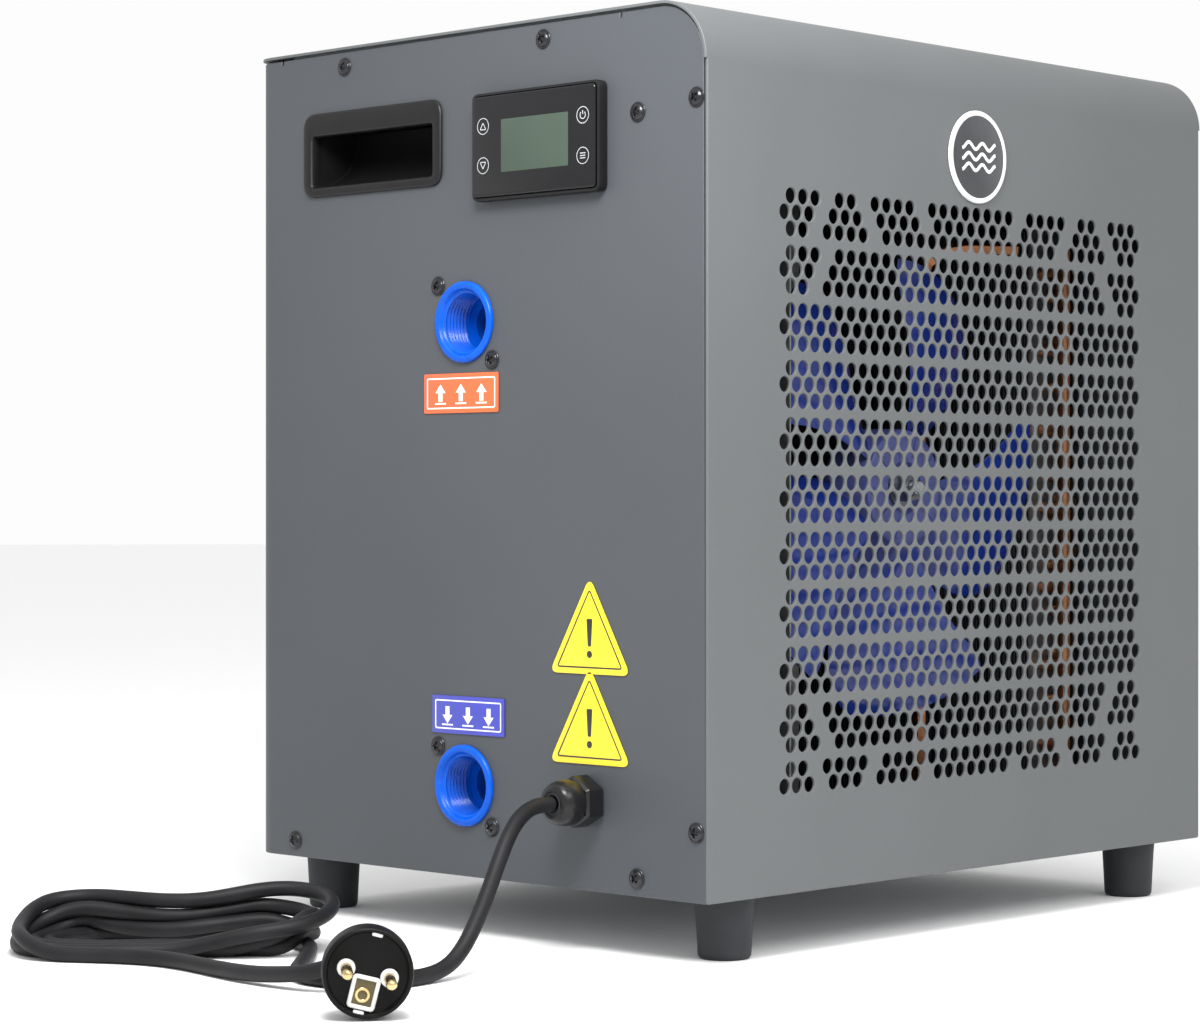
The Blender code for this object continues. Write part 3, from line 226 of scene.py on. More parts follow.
def bare_metal(name, colour, roughness, stretch=(1, 1, 1), size=0.0015, metallic=1.0):
    """Metal whose grain can be stretched along the way it was drawn or rolled."""
    finish = Finish(name, Metallic=metallic)
    grain = finish.noise(size, 3.0, stretch)
    patch = finish.noise(0.012, 2.0)
    skin = finish.mixed(patch.step(0.3, 0.7), tone(colour, 0.82), tone(colour, 1.08))
    finish.feed(Base_Color=skin, Roughness=grain * 0.16 + patch * 0.08 + (roughness - 0.12),
                Normal=finish.bump(grain, 0.00002))
    return finish.material


BLACK_PLASTIC = moulded_plastic("black_plastic", (0.006, 0.006, 0.0065), 0.40)
PLUG_BLACK = moulded_plastic("plug_black", (0.004, 0.004, 0.0042), 0.46, shine=0.12)
GLAND_BLACK = moulded_plastic("gland_black", (0.010, 0.010, 0.011), 0.24, 0.0015, 0.00001)
UNION_BLUE = moulded_plastic("union_blue", (0.0003, 0.078, 0.50), 0.28, 0.002, 0.00001,
                             coat=0.04, shine=0.20)
FAN_BLUE = moulded_plastic("fan_blue", (0.012, 0.035, 0.26), 0.18, 0.004, 0.00003, 0.6)
HUB_GREY = moulded_plastic("hub_lavender", (0.080, 0.095, 0.28), 0.34, 0.002, 0.00002, 0.1)
WHITE_PLASTIC = moulded_plastic("tank_white", (0.62, 0.62, 0.60), 0.40)
FOOT_RUBBER = moulded_plastic("foot_rubber", (0.022, 0.024, 0.027), 0.62, 0.0009, 0.00006)
BLACK_SCREW = bare_metal("black_screw", (0.045, 0.045, 0.048), 0.22, metallic=0.85)
BRIGHT_STEEL = bare_metal("bright_steel", (0.62, 0.63, 0.64), 0.24)
DULL_STEEL = bare_metal("dull_steel", (0.22, 0.23, 0.26), 0.34)
BRASS = bare_metal("pin_brass", (0.66, 0.50, 0.24), 0.26)
COPPER = bare_metal("copper", (0.62, 0.27, 0.13), 0.30, (1, 1, 0.1))
GALVANISED = bare_metal("galvanised", (0.36, 0.37, 0.38), 0.46, size=0.006, metallic=0.8)
BLACK_ENAMEL = moulded_plastic("compressor_black", (0.012, 0.012, 0.014), 0.34, 0.003, 0.00004)
print("finishes", len(bpy.data.materials))

# %% [markdown]
# ## Grids into pieces
# A shell is a pair: the points, and the faces as lists of point numbers. `grid` gives
# the faces of any rows-by-columns surface. `piece` makes the mesh, merges the seam,
# points the faces outwards, marks the creases and hands the piece to its CAD body.


def grid(points, round_u=False, round_v=False, ends=False):
    """Face (i, j) joins points (i, j), (i+1, j), (i+1, j+1) and (i, j+1)."""
    rows, columns = points.shape[:2]
    number = np.arange(rows * columns).reshape(rows, columns)
    net = np.vstack([number, number[:1]]) if round_u else number
    net = np.hstack([net, net[:, :1]]) if round_v else net
    quads = np.stack([net[:-1, :-1], net[1:, :-1], net[1:, 1:], net[:-1, 1:]], -1)
    faces = list(quads.reshape(-1, 4))
    if ends:
        faces += [number[0][::-1], number[-1]]
    return points.reshape(-1, 3), faces


def joined(shells):
    """Several shells as one: face numbers go up by the points that came before."""
    start = np.cumsum([0] + [len(points) for points, _ in shells])
    faces = [np.asarray(face) + first for first, (_, some) in zip(start, shells)
             for face in some]
    return np.vstack([points for points, _ in shells]), faces


def piece(name, shell, look, body="case", stands_for=(), sharp=32.0, bevel=0.0):
    """A finished object: seam merged, faces outwards, creases sharp, riding on its body."""
    mesh = bpy.data.meshes.new(name)
    mesh.from_pydata(shell[0], [], shell[1])
    shape = bmesh.new()
    shape.from_mesh(mesh)
    bmesh.ops.remove_doubles(shape, verts=shape.verts, dist=3e-6)
    bmesh.ops.recalc_face_normals(shape, faces=shape.faces)
    shape.to_mesh(mesh)
    shape.free()
    mesh.materials.append(look)
    mesh.shade_smooth()
    mesh.set_sharp_from_angle(angle=math.radians(sharp))
    item = bpy.data.objects.new(name, mesh)
    bpy.context.scene.collection.objects.link(item)
    if bevel:
        soften = item.modifiers.new("edges", "BEVEL")
        soften.width = bevel * MM
        soften.segments = 2
        soften.limit_method = "ANGLE"
        soften.angle_limit = math.radians(40)
        soften.harden_normals = True
    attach(item, body)
    if stands_for:
        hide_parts(*stands_for)
    return item


def rounded(corners, radius, steps=5, closed=False):
    """Each corner c becomes (1-t)^2 a + 2t(1-t) c + t^2 b, with a and b a radius away."""
    c = np.asarray(corners, float)
    size = np.broadcast_to(np.asarray(radius, float), len(c))

    def toward(neighbour):
        way = neighbour - c
        long = np.maximum(np.linalg.norm(way, axis=1), 1e-9)
        return c + way * (np.minimum(size, 0.5 * long) / long)[:, None]

    a, b = toward(np.roll(c, 1, axis=0)), toward(np.roll(c, -1, axis=0))
    t = np.linspace(0, 1, steps + 1)[None, :, None]
    curve = (1 - t) ** 2 * a[:, None] + 2 * t * (1 - t) * c[:, None] + t ** 2 * b[:, None]
    points = curve.reshape(-1, c.shape[1])
    if closed:
        return points
    return np.vstack([c[:1], points[steps + 1:-steps - 1], c[-1:]])


def rectangle(centre, width, height, radius, steps=5):
    """A rectangle with round corners, as a closed outline."""
    signs = np.array([(1, 1), (-1, 1), (-1, -1), (1, -1)])
    return rounded(np.asarray(centre) + signs * (width / 2, height / 2), radius, steps, True)


def circle(centre, radius, sides=24):
    """centre + radius (cos a, sin a)."""
    angle = np.arange(sides) * TURN / sides
    return np.asarray(centre) + radius * np.column_stack([np.cos(angle), np.sin(angle)])


def turned(profile, centre, axis, around=48, closed=False):
    """centre + h axis + r (cos a side + sin a up) for each (r, h) of the profile, in mm."""
    profile = np.asarray(profile, float)
    axis = np.asarray(axis, float) / np.linalg.norm(axis)
    side = np.cross(axis, (0, 0, 1) if abs(axis[2]) < 0.9 else (1, 0, 0))
    side /= np.linalg.norm(side)
    angle = np.arange(around) * TURN / around
    spoke = np.cos(angle)[:, None] * side + np.sin(angle)[:, None] * np.cross(axis, side)
    points = (np.asarray(centre, float) + profile[:, None, 1:] * axis
              + profile[:, None, :1] * spoke)
    return grid(row(points), round_u=closed, round_v=True)


def moulded(side, outline, profile, ends=True):
    """outline - inset * its normal, raised by out, for each (inset, out) of the profile."""
    along = np.roll(outline, -1, axis=0) - np.roll(outline, 1, axis=0)
    normal = np.column_stack([along[:, 1], -along[:, 0]])
    normal /= np.maximum(np.linalg.norm(normal, axis=1), 1e-9)[:, None]
    profile = np.asarray(profile, float)
    flat = outline[None] - profile[:, None, :1] * normal[None]
    return grid(on(side, flat[..., 0], flat[..., 1], profile[:, 1][:, None]),
                round_v=True, ends=ends)


# %% [markdown]
# ## The camera
# A level camera a metre and a half from the near corner, with a long lens, so that the
# upright edges stay parallel. It comes first because everything else is judged through
# it, and because the lead must stay in its view.

# %% Camera
camera = bpy.data.objects.new("camera", bpy.data.cameras.new("camera"))
bpy.context.scene.collection.objects.link(camera)
camera.location = (1.1663, -1.31315, 0.2222)
camera.rotation_euler = (math.radians(90), 0, math.radians(43.84))
camera.data.lens = 95.52
camera.data.sensor_width = 36.0
camera.data.shift_y = -0.01125
bpy.context.scene.camera = camera
print("camera", tuple(round(x, 3) for x in camera.location), "lens", camera.data.lens)

# %% [markdown]
# ## The mains lead
# The lead is 7.6 mm flexible cable. It leaves the gland, drops to the floor, and most
# of it is wound into a loose hank that is nipped in the middle. Winding is a formula:
# each turn is a peanut, s = a cos, n = -(p sin + h sin 3), and successive turns climb
# on the ones before. Real strands then push each other apart, which is a short
# relaxation: neighbours keep their distance, strands keep a diameter between them.

# %% The route of the lead
CORD = 7.6
LEAD_ROUTE = np.array([
    (86.5, -233.3, 75.0), (86.8, -245.5, 74.3), (88.5, -256.5, 70.0), (91.0, -266.5, 62.0),
    (93.5, -275.5, 51.0), (95.0, -283.5, 38.5), (96.0, -291.5, 26.5), (97.2, -301.0, 15.0),
    (98.7, -312.5, 7.2), (99.8, -327.0, 4.0), (99.4, -344.2, 4.0), (90.7, -358.6, 4.0),
    (75.9, -366.7, 4.0), (59.1, -366.3, 4.0), (44.7, -357.7, 4.0), (32.6, -345.1, 4.0),
    (20.5, -332.5, 4.0)])
TAIL_ROUTE = np.array([
    (77.0, -381.0, 8.6), (91.5, -375.5, 13.0), (104.5, -374.6, 17.4), (115.9, -381.2, 20.2),
    (125.26, -389.01, 20.4)])
HANK_CENTRE = np.array([-71.4, -337.4, 0.0])
HANK_ALONG = np.array([0.7213, 0.6926, 0.0])
HANK_FRONT = np.array([0.6926, -0.7213, 0.0])
HANK_AXES = np.stack([HANK_ALONG, HANK_FRONT, (0, 0, 1)])
FIRST_TURN, LAST_TURN = 0.14, 3.60


def smooth(points, samples=16):
    """Catmull-Rom: a cubic through each pair of points, level with their neighbours."""
    p = np.vstack([2 * points[0] - points[1], points, 2 * points[-1] - points[-2]])
    t = (np.arange(samples) / samples)[None, :, None]
    a, b, c, d = (p[i:len(p) - 3 + i][:, None, :] for i in range(4))
    curve = 0.5 * (2 * b + (c - a) * t + (2 * a - 5 * b + 4 * c - d) * t ** 2
                   + (3 * b - a - 3 * c + d) * t ** 3)
    return np.vstack([curve.reshape(-1, 3), points[-1:]])


def even(points, step):
    """The same line with points about a step apart along it."""
    along = np.r_[0, np.cumsum(np.linalg.norm(np.diff(points, axis=0), axis=1))]
    at = np.linspace(0, along[-1], int(round(along[-1] / step)) + 1)
    return np.stack([np.interp(at, along, points[:, k]) for k in range(3)], axis=1)


def wound_turns(first, last):
    """Peanut turns in the hank's own frame: along, to the front, and up."""
    turn = np.linspace(first, last, 300)
    angle = TURN * turn
    back = 0.5 + 0.5 * np.sin(angle)
    lift = 0.5 + 0.5 * np.sin(angle + 0.6)
    nest = (CORD + 0.4) * (last - turn)
    half = np.interp(turn, np.arange(9) * 0.5, [70, 65, 66, 68, 70, 73, 76, 77, 77])
    wide = 32 * back + (39 - nest * 0.52) * (1 - back)
    nip = 11 * back + (8 - nest * 0.05) * (1 - back)
    s = half * np.cos(angle) + 2 * np.sin(0.37 * angle)
    n = 1 + back * 1.5 * np.sin(1.7 * angle + 0.8) - wide * np.sin(angle) - nip * np.sin(3 * angle)
    stack = (CORD + 0.5) * np.maximum(turn - 0.25, 0) * lift ** 0.8
    z = CORD / 2 + 0.2 + stack * (1.12 - 0.34 * np.exp(-(s / 26) ** 2))
    return np.stack([s, n, z], axis=1)


def relax(line, free, rounds):
    """Bending evens the line, spacing keeps its length, and strands push apart."""
    p = line.copy()
    step = np.linalg.norm(np.diff(p, axis=0), axis=1).mean()
    index = np.arange(len(p))
    apart = np.abs(index[:, None] - index[None]) > 3.2 * CORD / step
    for _ in range(rounds):
        even_line = p.copy()
        even_line[2:-2] = (4 * (p[1:-3] + p[3:-1]) - p[:-4] - p[4:]) / 6
        p[free] += 0.45 * (even_line - p)[free]
        p[free, 2] -= 0.03
        for _ in range(3):
            way = np.diff(p, axis=0)
            pull = 0.35 * way * (1 - step / np.linalg.norm(way, axis=1, keepdims=True))
            move = np.vstack([pull, [[0, 0, 0]]]) - np.vstack([[[0, 0, 0]], pull])
            gap = p[:, None] - p[None]
            far = np.linalg.norm(gap, axis=2) + np.eye(len(p))
            close = (far < 1.01 * CORD) & apart
            push = (gap * np.where(close, 0.5 * (1.01 * CORD / far - 1), 0)[..., None]).sum(1)
            move += push / np.maximum(0.6 * close.sum(1), 1)[:, None]
            p[free] += move[free]
            p[free, 2] = np.maximum(p[free, 2], CORD / 2 + 0.1)
    return p


enter = np.array([(69.5, 45, 4), (68.0, 24, 4), (61.5, 3, 4), (51.0, -16, 4)])
leave = np.array([(-34.0, 45, 4), (-12.0, 50, 4), (8.0, 63, 4), (25.0, 82, 4),
                  (41.0, 102, 4.4), (58.0, 119, 5.6)])
wound = even(wound_turns(FIRST_TURN, LAST_TURN), 20)
hank = np.vstack([enter, wound, leave]) @ HANK_AXES + HANK_CENTRE
route = even(smooth(np.vstack([LEAD_ROUTE, hank, TAIL_ROUTE])), 5.0)
local = (route - HANK_CENTRE) @ HANK_AXES.T
free = (np.abs(local[:, 0]) < 90) & (np.abs(local[:, 1]) < 90)
route = even(smooth(relax(route, free, 110), 4), 2.5)

# %% [markdown]
# ## A tube along a line
# The sheath is a circle carried along the route. Its side vector is the tangent
# crossed with up, which never fails here because the lead is nowhere upright.

# %% Sheath of the lead
def tube(line, radius, around=14, ends=True):
    """line + radius (cos a side + sin a up), with side = tangent x vertical."""
    tangent = np.gradient(line, axis=0)
    tangent /= np.linalg.norm(tangent, axis=1, keepdims=True)
    side = np.cross(tangent, (0, 0, 1))
    side /= np.linalg.norm(side, axis=1, keepdims=True)
    up = np.cross(side, tangent)
    angle = np.arange(around) * TURN / around
    ring = (np.cos(angle)[None, :, None] * side[:, None]
            + np.sin(angle)[None, :, None] * up[:, None])
    radius = np.broadcast_to(np.asarray(radius, float), len(line))
    return grid(row(line[:, None] + radius[:, None, None] * ring), round_v=True, ends=ends)


def cord_sheath():
    """Dull black rubber: two near blacks in 3 cm patches, with a fine grain."""
    finish = Finish("cord_rubber", Specular_IOR_Level=0.2)
    grain = finish.noise(0.0011, 3.0)
    patch = finish.noise(0.03, 2.0)
    skin = finish.mixed(patch.step(0.25, 0.75), tone((0.008, 0.008, 0.009)),
                        tone((0.015, 0.015, 0.017)))
    finish.feed(Base_Color=skin, Roughness=grain * 0.14 + 0.42 + patch * 0.06,
                Normal=finish.bump(grain, 0.00006))
    return finish.material


CORD_RUBBER = cord_sheath()
lead = piece("mains_lead", tube(route, CORD / 2), CORD_RUBBER,
             stands_for=("cord_lead", "cord_hank", "cord_tail"))

# %% [markdown]
# ## The plug
# An earthed plug seen from its pins. Its own axes are the way it points, and across
# and up turned a little about that, so that everything on its face is drawn flat.
# The body is one turned profile that narrows into the ribbed sleeve of the lead.

# %% Plug
PLUG_FACE = np.array([159.1, -417.0, 20.4])
PLUG_AXIS = np.array([0.7706, -0.6376, 0.0])
PLUG_ROLL = math.radians(-14)
PIN_SPACING = 19.0
level_side = np.cross((0, 0, 1), PLUG_AXIS)
level_up = np.cross(PLUG_AXIS, level_side)
plug_side = math.cos(PLUG_ROLL) * level_side + math.sin(PLUG_ROLL) * level_up
plug_up = math.cos(PLUG_ROLL) * level_up - math.sin(PLUG_ROLL) * level_side
SIDES["plug"] = (tuple(PLUG_FACE), (tuple(plug_side), tuple(plug_up), tuple(PLUG_AXIS)))


def lofted(side, outlines, heights, ring=False, ends=True):
    """Outline k lies at height out_k; equal numbers of points are joined in order."""
    flat = np.stack(outlines)
    out = np.asarray(heights, float)[:, None]
    return grid(on(side, flat[..., 0], flat[..., 1], out), round_u=ring, round_v=True,
                ends=ends and not ring)


def frame_ring(side, outline, profile):
    """A moulded ring: the profile is closed on itself round the outline."""
    points, faces = moulded(side, outline, profile, ends=False)
    rows, columns = len(profile), len(outline)
    return grid(points.reshape(rows, columns, 3), round_u=True, round_v=True)


sleeve = [(5.9 - 0.09 * k + 0.35 * (k % 2), -36.0 - 1.3 * k) for k in range(14)]
plug_profile = [(0, -2.9), (16.3, -2.9), (17.0, -2.6), (17.5, -0.6), (17.9, -0.1),
                (18.7, -0.1), (19.3, -0.5), (19.6, -1.3), (19.6, -14.5), (19.3, -16.6),
                (18.3, -19.2), (15.6, -22.6), (12.2, -25.6), (9.6, -28.6), (8.2, -31.5),
                (7.4, -34.5)]
plug = piece("plug_shell", turned(plug_profile + sleeve + [(4.4, -54.5), (0, -54.5)],
                                  PLUG_FACE, PLUG_AXIS, 72), PLUG_BLACK,
             stands_for=("plug_body",))
plug_pieces = [plug]
plug_seat = PLUG_FACE - 2.9 * PLUG_AXIS
for number, sign in ((1, -1), (2, 1)):
    foot = plug_seat + plug_side * sign * PIN_SPACING / 2
    collar = [(2.45, -1), (4.0, -1), (4.0, 0.9), (3.7, 1.4), (2.9, 1.7), (2.45, 1.7)]
    pin = [(0, 21.9), (0.9, 21.8), (1.6, 21.3), (2.1, 20.4), (2.4, 19.2), (2.4, -4.0),
           (0, -4.0)]
    plug_pieces += [
        piece("pin_collar_%d" % number, turned(collar, foot, PLUG_AXIS, 32, closed=True),
              WHITE_PLASTIC),
        piece("plug_pin_%d_turned" % number, turned(pin, foot, PLUG_AXIS, 32), BRASS,
              stands_for=("plug_pin_%d" % number,))]
earth = plug_seat - 9.6 * plug_up
earth_frame = frame_ring("plug", rectangle((0.3, -8.5), 12.2, 14.6, 2.0),
                         [(0, -4), (0, -1.9), (0.4, -1.5), (1.4, -1.5), (1.8, -1.9), (1.8, -4)])
earth_ring = turned([(1.9, -1), (3.3, -1), (3.3, 0.9), (3.0, 1.2), (2.2, 1.2), (1.9, 0.9)],
                    earth, PLUG_AXIS, 32, closed=True)
earth_floor = moulded("plug", rectangle((0.3, -8.5), 8.8, 11.2, 1.0),
                      [(0, -4), (0, -2.6), (0.3, -2.4)])
plug_pieces += [
    piece("earth_socket_frame", earth_frame, WHITE_PLASTIC, stands_for=("plug_earth_socket",)),
    piece("earth_socket_ring", earth_ring, BRASS),
    piece("earth_socket_floor", earth_floor,
          moulded_plastic("socket_floor", (0.09, 0.075, 0.035), 0.5))]

# %% [markdown]
# ## Sheet metal
# A folded panel starts as a flat blank: an outline with holes in it. The blank is
# triangulated once, given a front layer, a small chamfer along every edge and a back
# layer, and only then bent by a formula that turns distance along the blank into a
# place on the folded sheet. The real panels are punched flat and folded afterwards too.

# %% Blanks and folds
COVER_SHEET, SHEET, CHAMFER = 1.4, 1.0, 0.28
PANEL_GAP = 1.4                                 # between the cover and the side panels


def shifted(loop, distance):
    """Each point moves to the left of its loop by the distance."""
    ahead = np.roll(loop, -1, axis=0) - loop
    ahead /= np.maximum(np.linalg.norm(ahead, axis=1), 1e-9)[:, None]
    left = np.column_stack([-ahead[:, 1], ahead[:, 0]])
    both = left + np.roll(left, 1, axis=0)
    size = np.maximum((both * left).sum(1), 0.4)
    return loop + distance * both / size[:, None]


def creased(outline, folds):
    """The outline with one more point wherever it crosses a fold line."""
    points = []
    for a, b in zip(outline, np.roll(outline, -1, axis=0)):
        crossed = sorted((u for u in folds if min(a[0], b[0]) < u < max(a[0], b[0])),
                         key=lambda u: abs(u - a[0]))
        points += [a] + [a + (b - a) * (u - a[0]) / (b[0] - a[0]) for u in crossed]
    return np.array(points)


def blank(outline, holes, thick, fold, folds=()):
    """Front, chamfer, edge and back of a sheet, all from one triangulation of its front."""
    edge = [creased(outline, folds)] + [np.asarray(h, float) for h in holes]
    front = [shifted(edge[0], CHAMFER)] + [shifted(h, -CHAMFER) for h in edge[1:]]
    count = np.array([len(loop) for loop in front])
    start = np.r_[0, np.cumsum(count)]
    flat = np.vstack(front)
    loops = [list(range(a, b)) for a, b in zip(start[:-1], start[1:])]
    on_fold = [np.flatnonzero(np.abs(front[0][:, 0] - u) < 0.35) for u in folds]
    extra = [(int(k[front[0][k, 1].argmin()]), int(k[front[0][k, 1].argmax()])) for k in on_fold]
    found, _, faces, origin, _, inside = delaunay_2d_cdt(
        [Vector(p) for p in flat], extra, loops, 1, 1e-5)
    place = np.array([tuple(p) for p in found])
    kept = np.array([list(f) for f, tags in zip(faces, inside) if tags == [0]])
    number = np.full(len(flat), -1)
    for at, source in enumerate(origin):
        number[source] = at
    true = np.vstack(edge)
    behind = place.copy()
    behind[number] = true
    turn = np.concatenate([np.r_[np.arange(a + 1, b), a] for a, b in zip(start[:-1], start[1:])])
    here, next_one, size = np.arange(len(flat)), turn, len(place)
    upper, middle, lower = number, 2 * size + here, size + number
    rim = [np.stack([a[here], a[next_one], b[next_one], b[here]], 1)
           for a, b in ((upper, middle), (middle, lower))]
    points = np.vstack([fold(place, 0.0), fold(behind, thick), fold(true, CHAMFER)])
    faces = list(kept) + list(kept[:, ::-1] + size) + list(rim[0]) + list(rim[1])
    return row(points), faces


def bent(flat, depth, ways):
    """Straight and round stretches in turn: (start, place, heading, radius) along the blank."""
    u = flat[:, 0]
    place, out = np.zeros((len(u), 2)), np.zeros((len(u), 2))
    for begin, origin, heading, radius in ways:
        here = u >= begin - 1e-6
        run = (u - begin)[here]
        angle = heading + (run / radius if radius else 0 * run)
        normal = np.column_stack([-np.sin(angle), np.cos(angle)])
        if radius:
            first = np.array([-math.sin(heading), math.cos(heading)])
            centre = np.asarray(origin) + radius * first
            place[here] = centre - radius * normal
        else:
            place[here] = np.asarray(origin) + run[:, None] * np.array(
                [math.cos(heading), math.sin(heading)])
        out[here] = normal
    return place - depth * out, flat[:, 1]


# %% [markdown]
# ## The cover
# One sheet is the top, the rolled front edge and the perforated front. Almost a
# thousand round holes are punched in staggered rows, grouped in threes, and some are
# left out so that the pattern ends in an open, round figure.

# %% Cover with its grille
CASE_TOP, CASE_BOTTOM, COVER_ARC = 460.3, 30.9, 30.0
TOP_RUN = 2 * CASE[0] - COVER_ARC
ROLL_RUN = COVER_ARC * math.pi / 2
FRONT_START = TOP_RUN + ROLL_RUN
COVER_WAYS = [(0, (-CASE[0], CASE_TOP), 0.0, 0),
              (TOP_RUN, (CASE[0] - COVER_ARC, CASE_TOP), 0.0, -COVER_ARC),
              (FRONT_START, (CASE[0], CASE_TOP - COVER_ARC), -math.pi / 2, 0)]
HOLE_RADIUS, HOLE_PITCH, ROW_PITCH, BAND_PITCH = 3.9, 9.29, 8.05, 27.84
GRILLE_Y, GRILLE_TOP, COLUMNS, BANDS = -3.0, 369.4, 32, 11


def cover_fold(flat, depth):
    """u along the sheet gives x and z; v is y."""
    place, across = bent(flat, depth, COVER_WAYS)
    return np.column_stack([place[:, 0], across, place[:, 1]])


def grille_runs(band):
    """First and last hole of each run, for the rows of one band, top row first."""
    full = [[(0, 31)], [(-0.5, 31.5)], [(0, 31)]]
    edge = [[(0, 2), (4, 5), (7, 10), (12, 19), (21, 24), (26, 27), (29, 31)],
            [(-0.5, 1.5), (3.5, 5.5), (7.5, 10.5), (12.5, 18.5), (20.5, 23.5), (25.5, 27.5),
             (29.5, 31.5)],
            [(0, 1), (3, 6), (8, 23), (25, 28), (30, 31)]]
    inner = [[(0, 2), (4, 27), (29, 31)], [(-0.5, 1.5), (3.5, 27.5), (29.5, 31.5)],
             [(0, 1), (3, 28), (30, 31)]]
    return {0: edge, 1: inner, BANDS - 2: inner[::-1], BANDS - 1: edge[:0:-1]}.get(band, full)


grille_holes = []
for band in range(BANDS):
    for line, runs in enumerate(grille_runs(band)):
        z = GRILLE_TOP - band * BAND_PITCH - line * ROW_PITCH
        columns = np.concatenate([np.arange(a, b + 1) for a, b in runs])
        grille_holes += [(FRONT_START + CASE_TOP - COVER_ARC - z,
                          GRILLE_Y + (c - (COLUMNS - 1) / 2) * HOLE_PITCH) for c in columns]
print("grille holes", len(grille_holes))

top_half, front_half = CASE[1] + 1.2, CASE[1]
last_u = FRONT_START + CASE_TOP - COVER_ARC - CASE_BOTTOM
cover_outline = rounded(
    [(0, -top_half), (FRONT_START, -top_half), (FRONT_START, -front_half), (last_u, -front_half),
     (last_u, front_half), (FRONT_START, front_half), (FRONT_START, top_half), (0, top_half)],
    [15.2, 0.4, 0.4, 1.5, 1.5, 0.4, 0.4, 2.0], 6, True)
roll_lines = np.r_[TOP_RUN - 3, TOP_RUN + ROLL_RUN * np.linspace(0, 1, 17), FRONT_START + 3]
cover_shell = blank(cover_outline, [circle(c, HOLE_RADIUS, 16) for c in grille_holes],
                    COVER_SHEET, cover_fold, roll_lines)
flange_u = np.r_[30, 295, roll_lines[1:-1], 720]
flanges = []
for y in (-CASE[1] + 2.7, CASE[1] - 2.7):
    corners = [(COVER_SHEET, y - 0.7), (14.4, y - 0.7), (14.4, y + 0.7), (COVER_SHEET, y + 0.7)]
    strips = [cover_fold(np.column_stack([flange_u, np.full(len(flange_u), v)]), depth)
              for depth, v in corners]
    flanges.append(grid(row(np.stack(strips, 1)), round_v=True, ends=True))
cover = piece("cover_sheet", joined([cover_shell] + flanges), COVER_GREY,
              stands_for=("cover",), sharp=28)
print("cover faces", len(cover.data.polygons))

# %% [markdown]
# ## Side panels
# The service panel has the two ports, the gland's hole and the handle's mouth, and it
# wraps round its rear upright on a large radius. The far panel and the rear grille are
# the air intakes: rows of wide slots over the finned coil.

# %% Side panels
SIDE_TOP = CASE_TOP - COVER_SHEET - PANEL_GAP
HANDLE = np.array([-69.7, 404.5])
UNION_X, UNIONS_Z, GLAND = -0.2, (311.9, 76.9), (86.5, 75.0)
SERVICE_SCREWS = [(-91.8, 449.8), (55.8, 449.8), (120.0, 408.3), (158.0, 412.2),
                  (157.9, 64.3), (119.3, 39.5), (-131.4, 39.5)]
FAR_SCREWS = [(-131.4, 449.8), (131.4, 449.8), (-131.4, 39.5), (131.4, 39.5)]
UNION_SCREWS = [place for z in UNIONS_Z
                for place in ((UNION_X - 19.7, z + 19.1), (UNION_X + 19.7, z - 19.7))]
PANEL_ARC = 14.0
SLOT_PITCH, SLOT_HEIGHT, SLOT_ROUND = 24, 10, 4.9
ARC_START = -CASE[0] + PANEL_ARC
ARC_RUN = PANEL_ARC * math.pi / 2
WRAP_START = ARC_START - ARC_RUN - 16.0
PANEL_WAYS = [(WRAP_START, (-CASE[0], -CASE[1] + PANEL_ARC + 16.0), -math.pi / 2, 0),
              (ARC_START - ARC_RUN, (-CASE[0], -CASE[1] + PANEL_ARC), -math.pi / 2, PANEL_ARC),
              (ARC_START, (ARC_START, -CASE[1]), 0.0, 0)]


def service_fold(flat, depth):
    """u along the sheet gives x and y; v is z."""
    place, up = bent(flat, -depth, PANEL_WAYS)
    return np.column_stack([place, up])


def roll_corner(right):
    """The panel's upper front corner follows the cover's roll, a gap inside it."""
    angle = np.linspace(0, math.pi / 2, 15)
    radius = COVER_ARC - COVER_SHEET - PANEL_GAP
    points = (CASE[0] - COVER_ARC, CASE_TOP - COVER_ARC) + radius * np.column_stack(
        [np.cos(angle), np.sin(angle)])
    points[:, 0] = np.minimum(points[:, 0], right)
    return points


handle_hole = rectangle(HANDLE - (0, 1), 98.5, 38.4, 1.5)
screw_hole = [circle(c, 2.2, 12) for c in SERVICE_SCREWS + UNION_SCREWS]
notches = [(x + s * 0.8, SIDE_TOP - d) for x in (108.6, -142.0)
           for s, d in ((1, 0), (1, 2.6), (-1, 2.6), (-1, 0))]
panel_right = CASE[0] - COVER_SHEET - 0.3
service_outline = np.vstack([(WRAP_START, CASE_BOTTOM), (panel_right, CASE_BOTTOM),
                             roll_corner(panel_right), notches, (WRAP_START, SIDE_TOP)])
arc_lines = np.r_[ARC_START - ARC_RUN - 2, ARC_START - ARC_RUN * np.linspace(1, 0, 13),
                  ARC_START + 2]
service_shell = blank(service_outline, [circle((UNION_X, z), 19.3, 48) for z in UNIONS_Z]
                      + [circle(GLAND, 8.5, 24), handle_hole] + screw_hole, SHEET,
                      service_fold, arc_lines)
piece("service_panel_sheet", service_shell, CASE_GREY, stands_for=("service_panel",), sharp=28)

